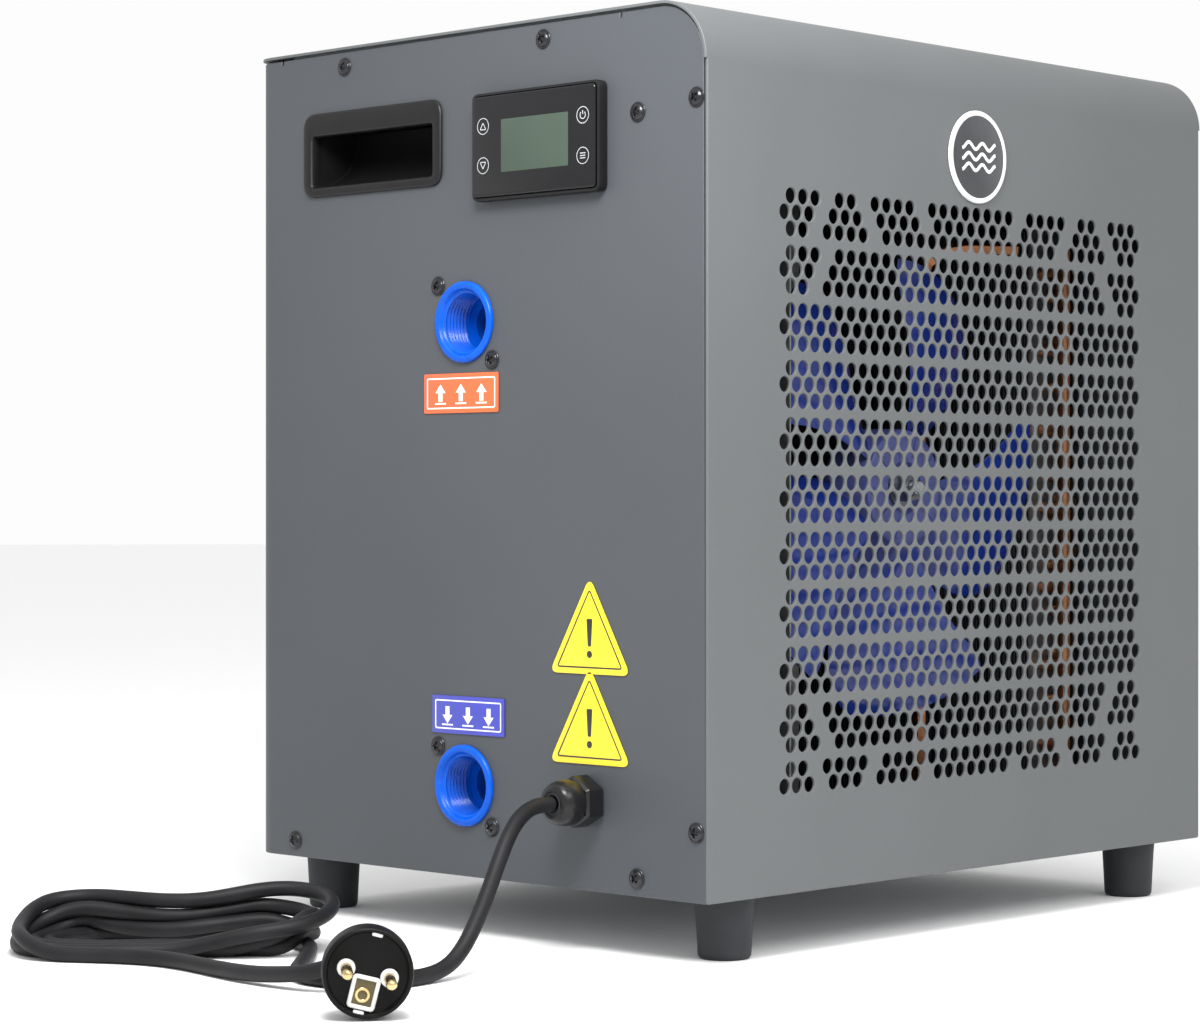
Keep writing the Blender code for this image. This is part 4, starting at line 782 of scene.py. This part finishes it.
far_outline = np.vstack([(-163.7, CASE_BOTTOM), (panel_right, CASE_BOTTOM),
                         roll_corner(panel_right), (-163.7, SIDE_TOP)])
far_slots = [rectangle((-30, 340 - SLOT_PITCH * k), 190, SLOT_HEIGHT, SLOT_ROUND)
             for k in range(11)]
piece("far_panel_sheet",
      blank(far_outline, [handle_hole] + far_slots + [circle(c, 2.2, 12) for c in FAR_SCREWS],
            SHEET, lambda flat, depth: np.column_stack(
                [flat[:, 0], np.full(len(flat), CASE[1] - depth), flat[:, 1]])),
      CASE_GREY, stands_for=("far_panel",), sharp=28)

rear_outline = np.array([(-177.2, CASE_BOTTOM), (206.5, CASE_BOTTOM), (206.5, SIDE_TOP),
                         (-177.2, SIDE_TOP)])
rear_slots = [rectangle((y, 370 - SLOT_PITCH * k), 112, SLOT_HEIGHT, SLOT_ROUND)
              for y in (-3, 121) for k in range(13)]
piece("rear_grille_sheet",
      blank(rear_outline, rear_slots, SHEET, lambda flat, depth: np.column_stack(
          [np.full(len(flat), -CASE[0] + depth), flat[:, 0], flat[:, 1]])),
      CASE_GREY, stands_for=("rear_grille",), sharp=28)
print("slots", len(far_slots), "far and", len(rear_slots), "rear")

# %% [markdown]
# ## Carrying handles
# A handle is a moulded cup. Cut it at any depth and the hole is a rectangle, low at
# the mouth and closing upwards as it goes in, because the floor of the cup is a
# quarter of an ellipse. Lofting those rectangles gives the whole scoop, bezel and all.

# %% Handles
def handle_shell(side):
    """Rows of rounded rectangles: bezel, mouth, scoop z = top - h cos(asin(d / D)), back."""
    x, z = HANDLE
    depth, low, top, lip, half = 33.0, z - 17.0, z + 15.0, z + 10.0, 46.6
    angle = np.linspace(0.06, 0.97, 14) * math.pi / 2
    deep = depth * np.sin(angle)
    floor = top - (top - low) * np.cos(angle)

    def box_row(bottom, ceiling, grow, radius):
        return rectangle((x, (bottom + ceiling) / 2), 2 * (half + grow),
                         ceiling - bottom + 2 * grow, radius, 6)

    rows = [(rectangle(HANDLE, 105.9, 43.8, 8.2, 6), 0.3),
            (rectangle(HANDLE, 106.5, 44.4, 8.5, 6), 0.6),
            (rectangle(HANDLE, 106.5, 44.4, 8.5, 6), 1.2),
            (rectangle(HANDLE, 105.7, 43.6, 8.1, 6), 1.85),
            (rectangle(HANDLE, 104.0, 41.9, 7.4, 6), 2.2),
            (box_row(low, lip, 1.5, 3.4), 2.2), (box_row(low, lip, 0.6, 2.6), 1.9),
            (box_row(low, lip, 0, 2), 1.0), (box_row(low, lip, 0, 2), -2.0),
            (box_row(floor[0], top, 0, 2), -2.6)]
    rows += [(box_row(f, top, 0, 2), -d) for f, d in zip(floor[1:], deep[1:])]
    rows += [(box_row(f, top, 1.6, 2.5), -d - 1.6) for f, d in zip(floor[:0:-1], deep[:0:-1])]
    rows += [(box_row(low, top, 1.6, 2.5), -1.2), (box_row(low, top, 1.6, 2.5), 0.3)]
    return lofted(side, [r for r, _ in rows], [out for _, out in rows], ring=True)


for side in ("service", "far"):
    piece("carry_handle_" + side, handle_shell(side), BLACK_PLASTIC,
          stands_for=("handle_" + side,), sharp=40)
print("handles 2, at", tuple(HANDLE))

# %% [markdown]
# ## Control panel
# A shallow frame holds a black glass front. Behind the glass is the display, and four
# touch keys are printed on it as rings with plain symbols. Printing is thin, so each
# line is a flat strip a few hundredths of a millimetre thick.

# %% Glass, display and printed keys
def strip(side, line, width, low, thick=0.05, closed=False):
    """line + or - half the width along its normal, low and high: four corners carried along."""
    line = np.asarray(line, float)
    ahead = np.roll(line, -1, axis=0) - np.roll(line, 1, axis=0) if closed else np.gradient(
        line, axis=0)
    ahead /= np.maximum(np.linalg.norm(ahead, axis=1), 1e-9)[:, None]
    normal = np.column_stack([-ahead[:, 1], ahead[:, 0]]) * width / 2
    corners = [(1, low), (1, low + thick), (-1, low + thick), (-1, low)]
    flat = np.stack([line + s * normal for s, _ in corners], 1)
    out = np.array([out for _, out in corners])[None, :]
    return grid(on(side, flat[..., 0], flat[..., 1], out), round_u=closed, round_v=True,
                ends=not closed)


def plate(side, outline, low, high):
    """A flat printed area with a hair of a rounded edge."""
    return moulded(side, outline, [(0, low), (0, high - 0.02), (0.05, high)])


def glass_finish():
    """Black glass with a faint smear that only changes its gloss."""
    finish = Finish("black_glass", Specular_IOR_Level=0.4)
    smear = finish.noise(0.03, 4.0, (1, 1, 2.5))
    tint = finish.mixed(smear, tone((0.0020, 0.0022, 0.0028)), tone((0.005, 0.005, 0.006)))
    finish.feed(Base_Color=tint, Roughness=smear.step(0.35, 0.8) * 0.10 + 0.05)
    return finish.material


def display_finish():
    """The grey-green of a display that is switched off."""
    finish = Finish("lcd_glass", Specular_IOR_Level=0.4)
    fine = finish.noise(0.0007, 1.0)
    wide = finish.noise(0.05, 1.0)
    tint = finish.mixed(wide, tone((0.034, 0.053, 0.038)), tone((0.046, 0.068, 0.050)))
    finish.feed(Base_Color=tint, Roughness=fine * 0.06 + 0.16)
    return finish.material


BLACK_GLASS = glass_finish()
LCD_GLASS = display_finish()
KEY_PRINT = moulded_plastic("key_print", (0.45, 0.46, 0.47), 0.4)
CONTROL = np.array([55.5, 398.6])
housing_rows = [(rectangle(CONTROL, w, h, r, 6), out) for w, h, r, out in (
    (88.4, 53.6, 3.8, 0.3), (89.0, 54.2, 4.0, 0.8), (89.0, 54.2, 4.0, 5.3),
    (88.4, 53.6, 3.7, 6.1), (87.4, 52.6, 3.3, 6.3), (86.2, 51.4, 2.9, 6.3),
    (85.9, 51.1, 2.8, 6.0), (85.9, 51.1, 2.8, 4.2))]
piece("control_frame", lofted("service", *zip(*housing_rows)), BLACK_PLASTIC,
      stands_for=("control_housing",), sharp=40)
glass_outline = rectangle(CONTROL, 85.2, 50.4, 2.4, 6)
piece("control_glass_front",
      moulded("service", glass_outline, [(0, 4.4), (0, 6.7), (0.12, 7.1), (0.4, 7.38), (0.8, 7.5)]),
      BLACK_GLASS, stands_for=("control_glass",))
display_centre = (56.75, 398.15)
piece("display", plate("service", rectangle(display_centre, 46.7, 26.3, 0.6, 3), 7.5, 7.56),
      LCD_GLASS)
key_marks = []
for key, (x, z) in enumerate([(20.5, 408.8), (20.5, 389.1), (90.1, 408.8), (90.1, 389.1)]):
    key_marks.append(strip("service", circle((x, z), 4.0, 40), 0.32, 7.5, closed=True))
    if key < 2:
        tip = 1.7 if key == 0 else -1.7
        triangle = np.array([(x, z + tip), (x - 2, z - tip), (x + 2, z - tip)])
        key_marks.append(strip("service", rounded(triangle, 0.5, 3, True), 0.4, 7.5, closed=True))
    elif key == 2:
        sweep = np.linspace(-0.78, 0.78, 24) * math.pi - math.pi / 2
        bow = (x, z) + 1.8 * np.column_stack([np.cos(sweep), np.sin(sweep)])
        key_marks += [strip("service", bow, 0.4, 7.5),
                      strip("service", [(x, z + 0.4), (x, z + 2.3)], 0.4, 7.5)]
    else:
        key_marks += [strip("service", [(x - 1.8, z + d), (x + 1.8, z + d)], 0.42, 7.5)
                      for d in (-1.2, 0, 1.2)]
piece("key_symbols", joined(key_marks), KEY_PRINT)
print("printed key strips", len(key_marks))

# %% [markdown]
# ## Water unions
# Each union is a socket with an inner pipe thread of eleven turns to the inch. The
# thread is a real helix: down the bore the radius is 15 + d (1 - |2 frac(h/p + a) - 1|),
# where a is the share of a turn, so each ridge starts where the last one ended.

# %% Unions with a cut thread
THREAD_PITCH = 25.4 / 11


def union_shell(z):
    """A closed profile turned about the port's axis, its bore modulated by the helix."""
    bore_h = np.arange(-17.0, -0.7, THREAD_PITCH / 7)
    outside = [(19.3, 2.6), (20.1, 2.35), (20.65, 1.75), (20.8, 1.0), (20.8, 0.3), (18.9, 0.3),
               (18.9, -24.4), (11.0, -24.4), (11.0, -18.6), (14.6, -18.0)]
    mouth = [(15.9, -0.4), (16.5, 0.6), (17.0, 1.9), (17.6, 2.45), (18.4, 2.65)]
    profile = np.array(outside + [(15.0, h) for h in bore_h] + mouth)
    share = np.arange(80) / 80
    phase = (profile[:, 1:] / THREAD_PITCH + share[None]) % 1
    in_bore = ((profile[:, 0] == 15.0) & (profile[:, 1] > -16.5) & (profile[:, 1] < -1.0))
    ridge = 1.3 * (1 - np.abs(2 * phase - 1)) * in_bore[:, None]
    radius = profile[:, :1] + ridge
    x, up = radius * np.cos(TURN * share), radius * np.sin(TURN * share)
    return grid(on("service", UNION_X + x, z + up, profile[:, 1:]), round_u=True, round_v=True)


for name, z in zip(("outlet", "inlet"), UNIONS_Z):
    piece(name + "_threaded_union", union_shell(z), UNION_BLUE, stands_for=(name + "_union",),
          sharp=50)
print("thread pitch %.3f mm" % THREAD_PITCH)

# %% [markdown]
# ## Screws
# Every screw is a black pan head with a cross recess over a thin washer rim. The recess
# is a depth that grows where a point lies inside either bar of a cross.

# %% Cross-head screws
def screw_shell(side, x, z, spin):
    """Dome h(r) less the cross: depth times the larger of the two bars, by angle a."""
    r = np.r_[np.linspace(0, 2.7, 15), np.linspace(2.9, 3.9, 6)]
    dome = 2.6 - 1.35 * (r / 3.9) ** 2.4
    angle = np.arange(56) * TURN / 56
    across = r[:, None] * np.cos(angle - spin)
    up = r[:, None] * np.sin(angle - spin)

    def bar(a, b):
        return (np.clip((0.78 - np.abs(a)) / 0.3, 0, 1)
                * np.clip((2.45 - np.abs(b)) / 0.5, 0, 1))

    height = dome[:, None] - 1.25 * np.maximum(bar(across, up), bar(up, across))
    rim = np.array([(4.02, 0.85), (4.75, 0.72), (4.9, 0.55), (4.9, 0.3), (1.9, 0.3),
                    (1.9, -8), (0, -8)])
    radius = np.r_[r, rim[:, 0]]
    height = np.vstack([height, np.repeat(rim[:, 1:], 56, axis=1)])
    return grid(on(side, x + radius[:, None] * np.cos(angle), z + radius[:, None] * np.sin(angle),
                   height), round_v=True)


for group, side, places in (("service", "service", SERVICE_SCREWS),
                            ("union", "service", UNION_SCREWS), ("far", "far", FAR_SCREWS)):
    for k, (x, z) in enumerate(places, 1):
        piece("%s_cross_screw_%d" % (group, k), screw_shell(side, x, z, 0.9 * k + 0.2),
              BLACK_SCREW, stands_for=("%s_screw_%d" % (group, k),), sharp=36)
print("screws", len(SERVICE_SCREWS + UNION_SCREWS + FAR_SCREWS))

# %% [markdown]
# ## Stickers and badge
# Two colour labels tell outlet from inlet; here arrows do it, out of the case or into
# it, inside a thin white frame. The warning triangles keep their yellow and their
# inner black line, with a plain bar and dot. The badge is a dark disc in a white rim.

# %% Labels
def printed_film(name, colour, roughness=0.32):
    """A thin glossy print: its colour 5 to 7 % lighter and darker in 3 cm patches."""
    finish = Finish(name, Coat_Weight=0.25, Coat_Roughness=0.2)
    grain = finish.noise(0.0004, 1.0)
    wide = finish.noise(0.03, 1.0)
    finish.feed(Base_Color=finish.mixed(wide, tone(colour, 0.93), tone(colour, 1.05)),
                Roughness=grain * 0.08 + roughness, Normal=finish.bump(wide, 0.0001))
    return finish.material


ORANGE = printed_film("orange_label", (0.69, 0.115, 0.032))
VIOLET = printed_film("violet_label", (0.043, 0.053, 0.39))
YELLOW = printed_film("yellow_label", (0.86, 0.66, 0.02))
WHITE_INK = printed_film("white_ink", (0.78, 0.78, 0.76))
BLACK_INK = printed_film("black_ink", (0.012, 0.012, 0.012))
FACE = 0.65                                    # outer face of a sticker above the panel


def arrow(x, z, size, way):
    """An arrow outline across the panel, pointing up when way is 1 and down when -1."""
    half = [(0, 1.0), (0.8, 0.05), (0.32, 0.05), (0.32, -0.9), (-0.32, -0.9), (-0.32, 0.05),
            (-0.8, 0.05)]
    points = np.array(half) * size * (1, way) + (x, z)
    return (points if way < 0 else points[::-1])


for name, centre, size, look, way in (
        ("outlet", (-2.8, 276.0), (54.3, 20.1), ORANGE, 1),
        ("inlet", (2.4, 112.5), (52.4, 19.2), VIOLET, -1)):
    piece(name + "_sticker", plate("service", rectangle(centre, *size, 0.8, 3), 0.3, FACE), look,
          stands_for=(name + "_label",))
    x, z = centre
    marks = [strip("service", rectangle(centre, size[0] - 5, size[1] - 5, 0.8, 3), 0.7, FACE,
                   closed=True)]
    marks += [plate("service", arrow(x + dx, z, 4.6, way), FACE, FACE + 0.06)
              for dx in (-15, 0, 15)]
    marks += [strip("service", [(x + dx - 4, z - 5.2), (x + dx + 4, z - 5.2)], 0.8, FACE)
              for dx in (-15, 0, 15)]
    piece(name + "_sticker_print", joined(marks), WHITE_INK)

for name, foot in (("upper", 136.8), ("lower", 92.8)):
    centre_x = 88.0
    corners = np.array([(-27.3, 0.0), (27.3, 0.0), (0.0, 47.4)]) + (centre_x, foot)
    outer = rounded(corners, 5.6, 8, True)
    piece("caution_triangle_" + name, plate("service", outer, 0.3, FACE), YELLOW,
          stands_for=("warning_label_" + name,))
    inner = corners.mean(0) + 0.80 * (corners - corners.mean(0))
    dot = circle((centre_x, foot + 9.6), 1.8, 24)
    bar = rounded(np.array([(-1.15, 13.4), (1.15, 13.4), (2.0, 27.0), (-2.0, 27.0)])
                  + (centre_x, foot), 0.8, 4, True)
    piece("caution_print_" + name, joined([
        strip("service", rounded(inner, 1.6, 4, True), 0.8, FACE, closed=True),
        plate("service", dot, FACE, FACE + 0.06), plate("service", bar, FACE, FACE + 0.06)]),
        BLACK_INK)
print("stickers 4, at", FACE, "mm above the panel")

# %% Badge
BADGE_DARK = moulded_plastic("badge_dark", (0.030, 0.032, 0.036), 0.25, 0.002, 0.00001, 0.6)
BADGE_Y, BADGE_Z = 0.6, 399.3
badge_at = (CASE[0], BADGE_Y, BADGE_Z)
piece("badge_disc", turned([(0, 1.75), (20.8, 1.75), (21.4, 1.5), (21.4, 0.3), (0, 0.3)],
                           badge_at, (1, 0, 0), 72), BADGE_DARK, stands_for=("front_badge",))
piece("badge_rim", turned([(21.4, 0.3), (24.0, 0.3), (24.0, 1.2), (23.5, 1.8), (22.7, 2.0),
                           (21.9, 1.85), (21.4, 1.6)], badge_at, (1, 0, 0), 72, closed=True),
      printed_film("badge_white", (0.70, 0.71, 0.72)))
wave = np.linspace(-14, 14, 40)
piece("badge_waves", joined([
    strip("front", np.column_stack([BADGE_Y + wave, BADGE_Z + h + 1.7 * np.sin(wave * 0.55)]),
          1.7, 1.75, 0.12) for h in (-5.5, 0, 5.5)]), WHITE_INK)
print("badge at", badge_at)

# %% [markdown]
# ## Cable gland and feet
# The gland's body is a hexagon whose corners were turned off, and its nut is a polished
# dome that presses a ribbed rubber ring on the lead. The feet are tapered rubber with a
# rounded lower edge and a recess for the screw.

# %% Gland
def rippled(profile, centre, axis, amplitude, count, around):
    """A closed turned ring whose radius grows by amplitude cos(count a)."""
    points, faces = turned(profile, centre, axis, around, closed=True)
    middle = row(np.asarray(centre, float))
    unit = np.asarray(axis, float)
    away = points - middle
    away -= (away @ unit)[:, None] * unit
    angle = np.tile(np.arange(around) * TURN / around, len(profile))
    size = np.linalg.norm(away, axis=1)
    move = amplitude * MM * np.cos(count * angle) / size
    return points + away * move[:, None], faces


ACROSS_FLATS = 22.5
hex_angle = np.arange(6) * TURN / 6 + TURN / 12
hexagon = np.asarray(GLAND) + ACROSS_FLATS / math.sqrt(3) * np.column_stack(
    [np.cos(hex_angle), np.sin(hex_angle)])
hexagon = rounded(hexagon, 1.1, 4, True)
piece("gland_hexagon",
      moulded("service", hexagon, [(1.0, 0.3), (0.0, 1.1), (0.0, 10.6), (1.2, 12.0), (4.0, 12.0),
                                   (4.0, 12.25)]),
      GLAND_BLACK, stands_for=("gland_body",), sharp=30)
gland_at = (GLAND[0], -CASE[1], GLAND[1])
nut = [(5.9, 25.4), (6.9, 25.3), (8.2, 24.7), (9.5, 23.4), (10.4, 21.5), (11.0, 19.0),
       (11.3, 16.2), (11.4, 13.2), (11.0, 12.3), (5.9, 12.3)]
piece("gland_dome_nut", turned(nut, gland_at, (0, -1, 0), 64, closed=True), GLAND_BLACK,
      stands_for=("gland_nut",))
piece("gland_seal", rippled([(4.3, 14), (5.85, 14), (5.8, 24.9), (5.2, 25.4), (4.3, 25.0)],
                            gland_at, (0, -1, 0), 0.14, 22, 132), FOOT_RUBBER)
print("gland", ACROSS_FLATS, "mm across flats")

# %% Feet
foot_profile = [(0, 30.5), (13.9, 30.5), (14.6, 29.8), (14.55, 28.2), (14.2, 24.0), (13.1, 3.0),
                (12.9, 1.4), (12.2, 0.4), (11.2, 0.02), (6.4, 0.02), (5.7, 0.5), (5.5, 1.2),
                (5.5, 12.0), (0, 12.0)]
foot_number = 1
for x in (-142.6, 142.6):
    for y in (-170.5, 170.5):
        piece("rubber_foot_%d" % foot_number, turned(foot_profile, (x, y, 0), (0, 0, 1), 56),
              FOOT_RUBBER, stands_for=("foot_%d" % foot_number,))
        foot_number += 1
print("feet", foot_number - 1)

# %% [markdown]
# ## Fan
# Each blade is a thin wing wrapped round the hub. Along the chord c and out along the
# reach s, the angle is spread c + sweep s^2 and the blade climbs by lift c. Its
# thickness follows sqrt(1 - (2c)^2), so the edges are round and not cut off square.

# %% Blades, hub, shaft and nut
FAN_Y, FAN_Z, HUB_BACK, FAN_RADIUS = -3.0, 228.0, 92.0, 121.0
BLADE_REACH, BLADE_CHORD = ((22, 28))


def blade(turn_angle):
    """One closed wing: chord there and back as the loop, reach as the rows."""
    s = np.linspace(0, 1, BLADE_REACH)[:, None]
    loop = np.arange(2 * BLADE_CHORD) * math.pi / BLADE_CHORD
    c = (0.5 * np.cos(loop))[None]
    tip = 1 - 0.20 * s ** 8
    radius = 27.0 + (FAN_RADIUS - 27.0) * s
    angle = turn_angle + np.radians(50 + 6 * s) * tip * c + math.radians(14) * s ** 2
    lift = (24 - 2 * s) * c + 3 * np.cos(math.pi * c)
    x = HUB_BACK + 14 + lift + 1.15 * np.sin(loop)[None] * (1 - 0.25 * s)
    place = np.stack([x, FAN_Y + radius * np.cos(angle), FAN_Z + radius * np.sin(angle)], -1)
    return grid(row(place), round_v=True, ends=True)


blades = [blade(TURN * k / 5 + math.radians(126)) for k in range(5)]
piece("fan_blades", joined(blades), FAN_BLUE, body="fan", stands_for=("fan_rotor",), sharp=50)
hub_profile = [(4.3, 25.0), (9.0, 25.0), (11.6, 25.3), (13.0, 26.6), (14.0, 28.9), (16.0, 29.8),
               (26.5, 30.0), (29.0, 29.5), (30.5, 28.2), (31.1, 26.0), (31.5, 0.0), (29.5, 0.0),
               (29.0, 20.0), (9.0, 20.0), (9.0, 2.0), (4.3, 2.0)]
fan_at = (HUB_BACK, FAN_Y, FAN_Z)
piece("fan_hub", turned(hub_profile, fan_at, (1, 0, 0), 72, closed=True), HUB_GREY, body="fan")
ribs = []
for k in range(10):
    a = TURN * k / 10
    ray = np.array([math.cos(a), math.sin(a)])
    ribs.append(strip("front", (FAN_Y, FAN_Z) + np.outer((16.5, 27.5), ray), 1.4,
                      HUB_BACK + 29.7 - CASE[0], 0.8))
piece("fan_hub_ribs", joined(ribs), HUB_GREY, body="fan")
print("fan blades", len(blades), "and hub ribs", len(ribs))

# %% [markdown]
# ## What is seen through the grille
# The coil, its end plate and pipes, the motor, the base pan and the rest keep their CAD
# shapes, with their edges eased by a bevel and their own finishes. The coil is dense
# with fins, which are far finer than geometry needs to be, so they are a stripe in the
# bump and in the colour, one fin every 1.8 mm; the darker half of the colour stripe is
# painted shade in the gaps between fins. Copper return bends are added on the end plate.

# %% Dress the inner pieces
FIN_PITCH = 0.0018                              # metres from fin to fin


def finned(name):
    """Dark lacquered fins with painted gap shade: sin of distance along either leg of the coil."""
    finish = Finish(name, Metallic=0.25)
    where = finish.place()
    x = finish.node("ShaderNodeSeparateXYZ", {}, {0: where}, "X")
    y = finish.node("ShaderNodeSeparateXYZ", {}, {0: where}, "Y")
    stripes = (x + y) * (TURN / FIN_PITCH)
    wave = stripes.maths("SINE", stripes) * 0.5 + 0.5
    grain = finish.noise(0.004, 2.0)
    # Painted shade: the colour runs from near black in the gaps between fins to the fins' own dark
    # grey on their edges.
    tint = finish.mixed(wave, tone((0.004, 0.004, 0.005)), tone((0.045, 0.047, 0.055)))
    finish.feed(Base_Color=tint, Roughness=grain * 0.2 + 0.36, Normal=finish.bump(wave, 0.0005))
    return finish.material


FINS_WITH_GAP_SHADE = finned("fin_black")
DRESS = {
    "coil_fins": (FINS_WITH_GAP_SHADE, 0.0), "coil_end_plate": (GALVANISED, 0.4), "coil_header": (COPPER, 0.0),
    "liquid_line": (COPPER, 0.0), "discharge_pipe": (COPPER, 0.0),
    "base_pan": (GALVANISED, 0.4), "partition": (GALVANISED, 0.3),
    "motor_bracket": (GALVANISED, 0.4), "fan_motor": (BLACK_ENAMEL, 0.6),
    "compressor": (BLACK_ENAMEL, 0.8), "heat_exchanger": (WHITE_PLASTIC, 1.0),
    "electrical_box": (BLACK_PLASTIC, 1.5), "fan_shaft": (BRIGHT_STEEL, 0.2),
    "fan_nut": (DULL_STEEL, 0.35), "plug_earth_clip_1": (BRIGHT_STEEL, 0.3),
    "plug_earth_clip_2": (BRIGHT_STEEL, 0.3)}
for node, (look, bevel) in DRESS.items():
    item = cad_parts[node]
    item.data.materials.clear()
    item.data.materials.append(look)
    if bevel:
        ease = item.modifiers.new("ease", "BEVEL")
        ease.width = bevel * MM
        ease.segments = 2
        ease.limit_method = "ANGLE"
        ease.angle_limit = math.radians(40)

bends = []
for k in range(12):
    z = 56.0 + 25.6 * k
    a = np.linspace(0, math.pi, 16)
    low, high = np.array([83.9, 178.0, z]), np.array([83.9, 190.0, z + 12.8])
    middle, reach = (low + high) / 2, (high - low) / 2
    line = middle - np.cos(a)[:, None] * reach + np.sin(a)[:, None] * np.array([9.5, 0, 0])
    bends.append(tube(line, 3.4, 16))
piece("coil_return_bends", joined(bends), COPPER)
print("dressed", len(DRESS), "inner pieces, return bends", len(bends))

# %% [markdown]
# ## Light and floor
# The machine stands on a plain pale floor in a bright, even studio. A broad light from
# the front right and above makes the grey sheets grade softly, a small one close above
# the service side keeps it from going flat, and a third one overhead lights the top.

# %% Studio
world = bpy.data.worlds.new("studio")
world.use_nodes = True
world.node_tree.nodes["Background"].inputs["Color"].default_value = (1.0, 1.0, 1.0, 1.0)
world.node_tree.nodes["Background"].inputs["Strength"].default_value = 0.98
bpy.context.scene.world = world
bpy.context.scene.view_settings.view_transform = "Standard"


def lamp(name, place, target, size, power):
    """A rectangular area light that looks from its place at a target."""
    light = bpy.data.lights.new(name, "AREA")
    light.shape = "RECTANGLE"
    light.size, light.size_y = size
    light.energy = power
    item = bpy.data.objects.new(name, light)
    item.location = place
    way = Vector(target) - Vector(place)
    item.rotation_euler = way.to_track_quat("-Z", "Y").to_euler()
    item.visible_camera = False
    bpy.context.scene.collection.objects.link(item)
    return item


lamp("key", (1.9, -0.5, 1.7), (0.1, 0, 0.25), (1.4, 1.0), 22)
lamp("service_side", (0.36, -0.56, 0.70), (0.13, -0.2, 0.36), (0.3, 0.25), 7)
lamp("top", (0.2, -0.4, 2.3), (0.1, -0.1, 0.4), (1.2, 1.2), 9)


def floor_finish():
    """Near white, a touch uneven, with hardly any gloss."""
    finish = Finish("studio_floor", Specular_IOR_Level=0.2)
    grain = finish.noise(0.004, 3.0)
    finish.feed(Base_Color=finish.mixed(grain, tone((0.90, 0.90, 0.90)), tone((0.93, 0.93, 0.93))),
                Roughness=grain * 0.1 + 0.7)
    return finish.material


radius = np.linspace(0, 14, 8)[:, None]
angle = (np.arange(48) * TURN / 48)[None]
disc = np.stack([radius * np.cos(angle), radius * np.sin(angle),
                 np.zeros_like(radius * angle)], -1)
floor_mesh = bpy.data.meshes.new("floor")
floor_points, floor_faces = grid(disc, round_v=True)
floor_mesh.from_pydata(floor_points, [], floor_faces)
floor_mesh.materials.append(floor_finish())
floor = bpy.data.objects.new("floor", floor_mesh)
bpy.context.scene.collection.objects.link(floor)
print("lamps", len(bpy.data.lights))
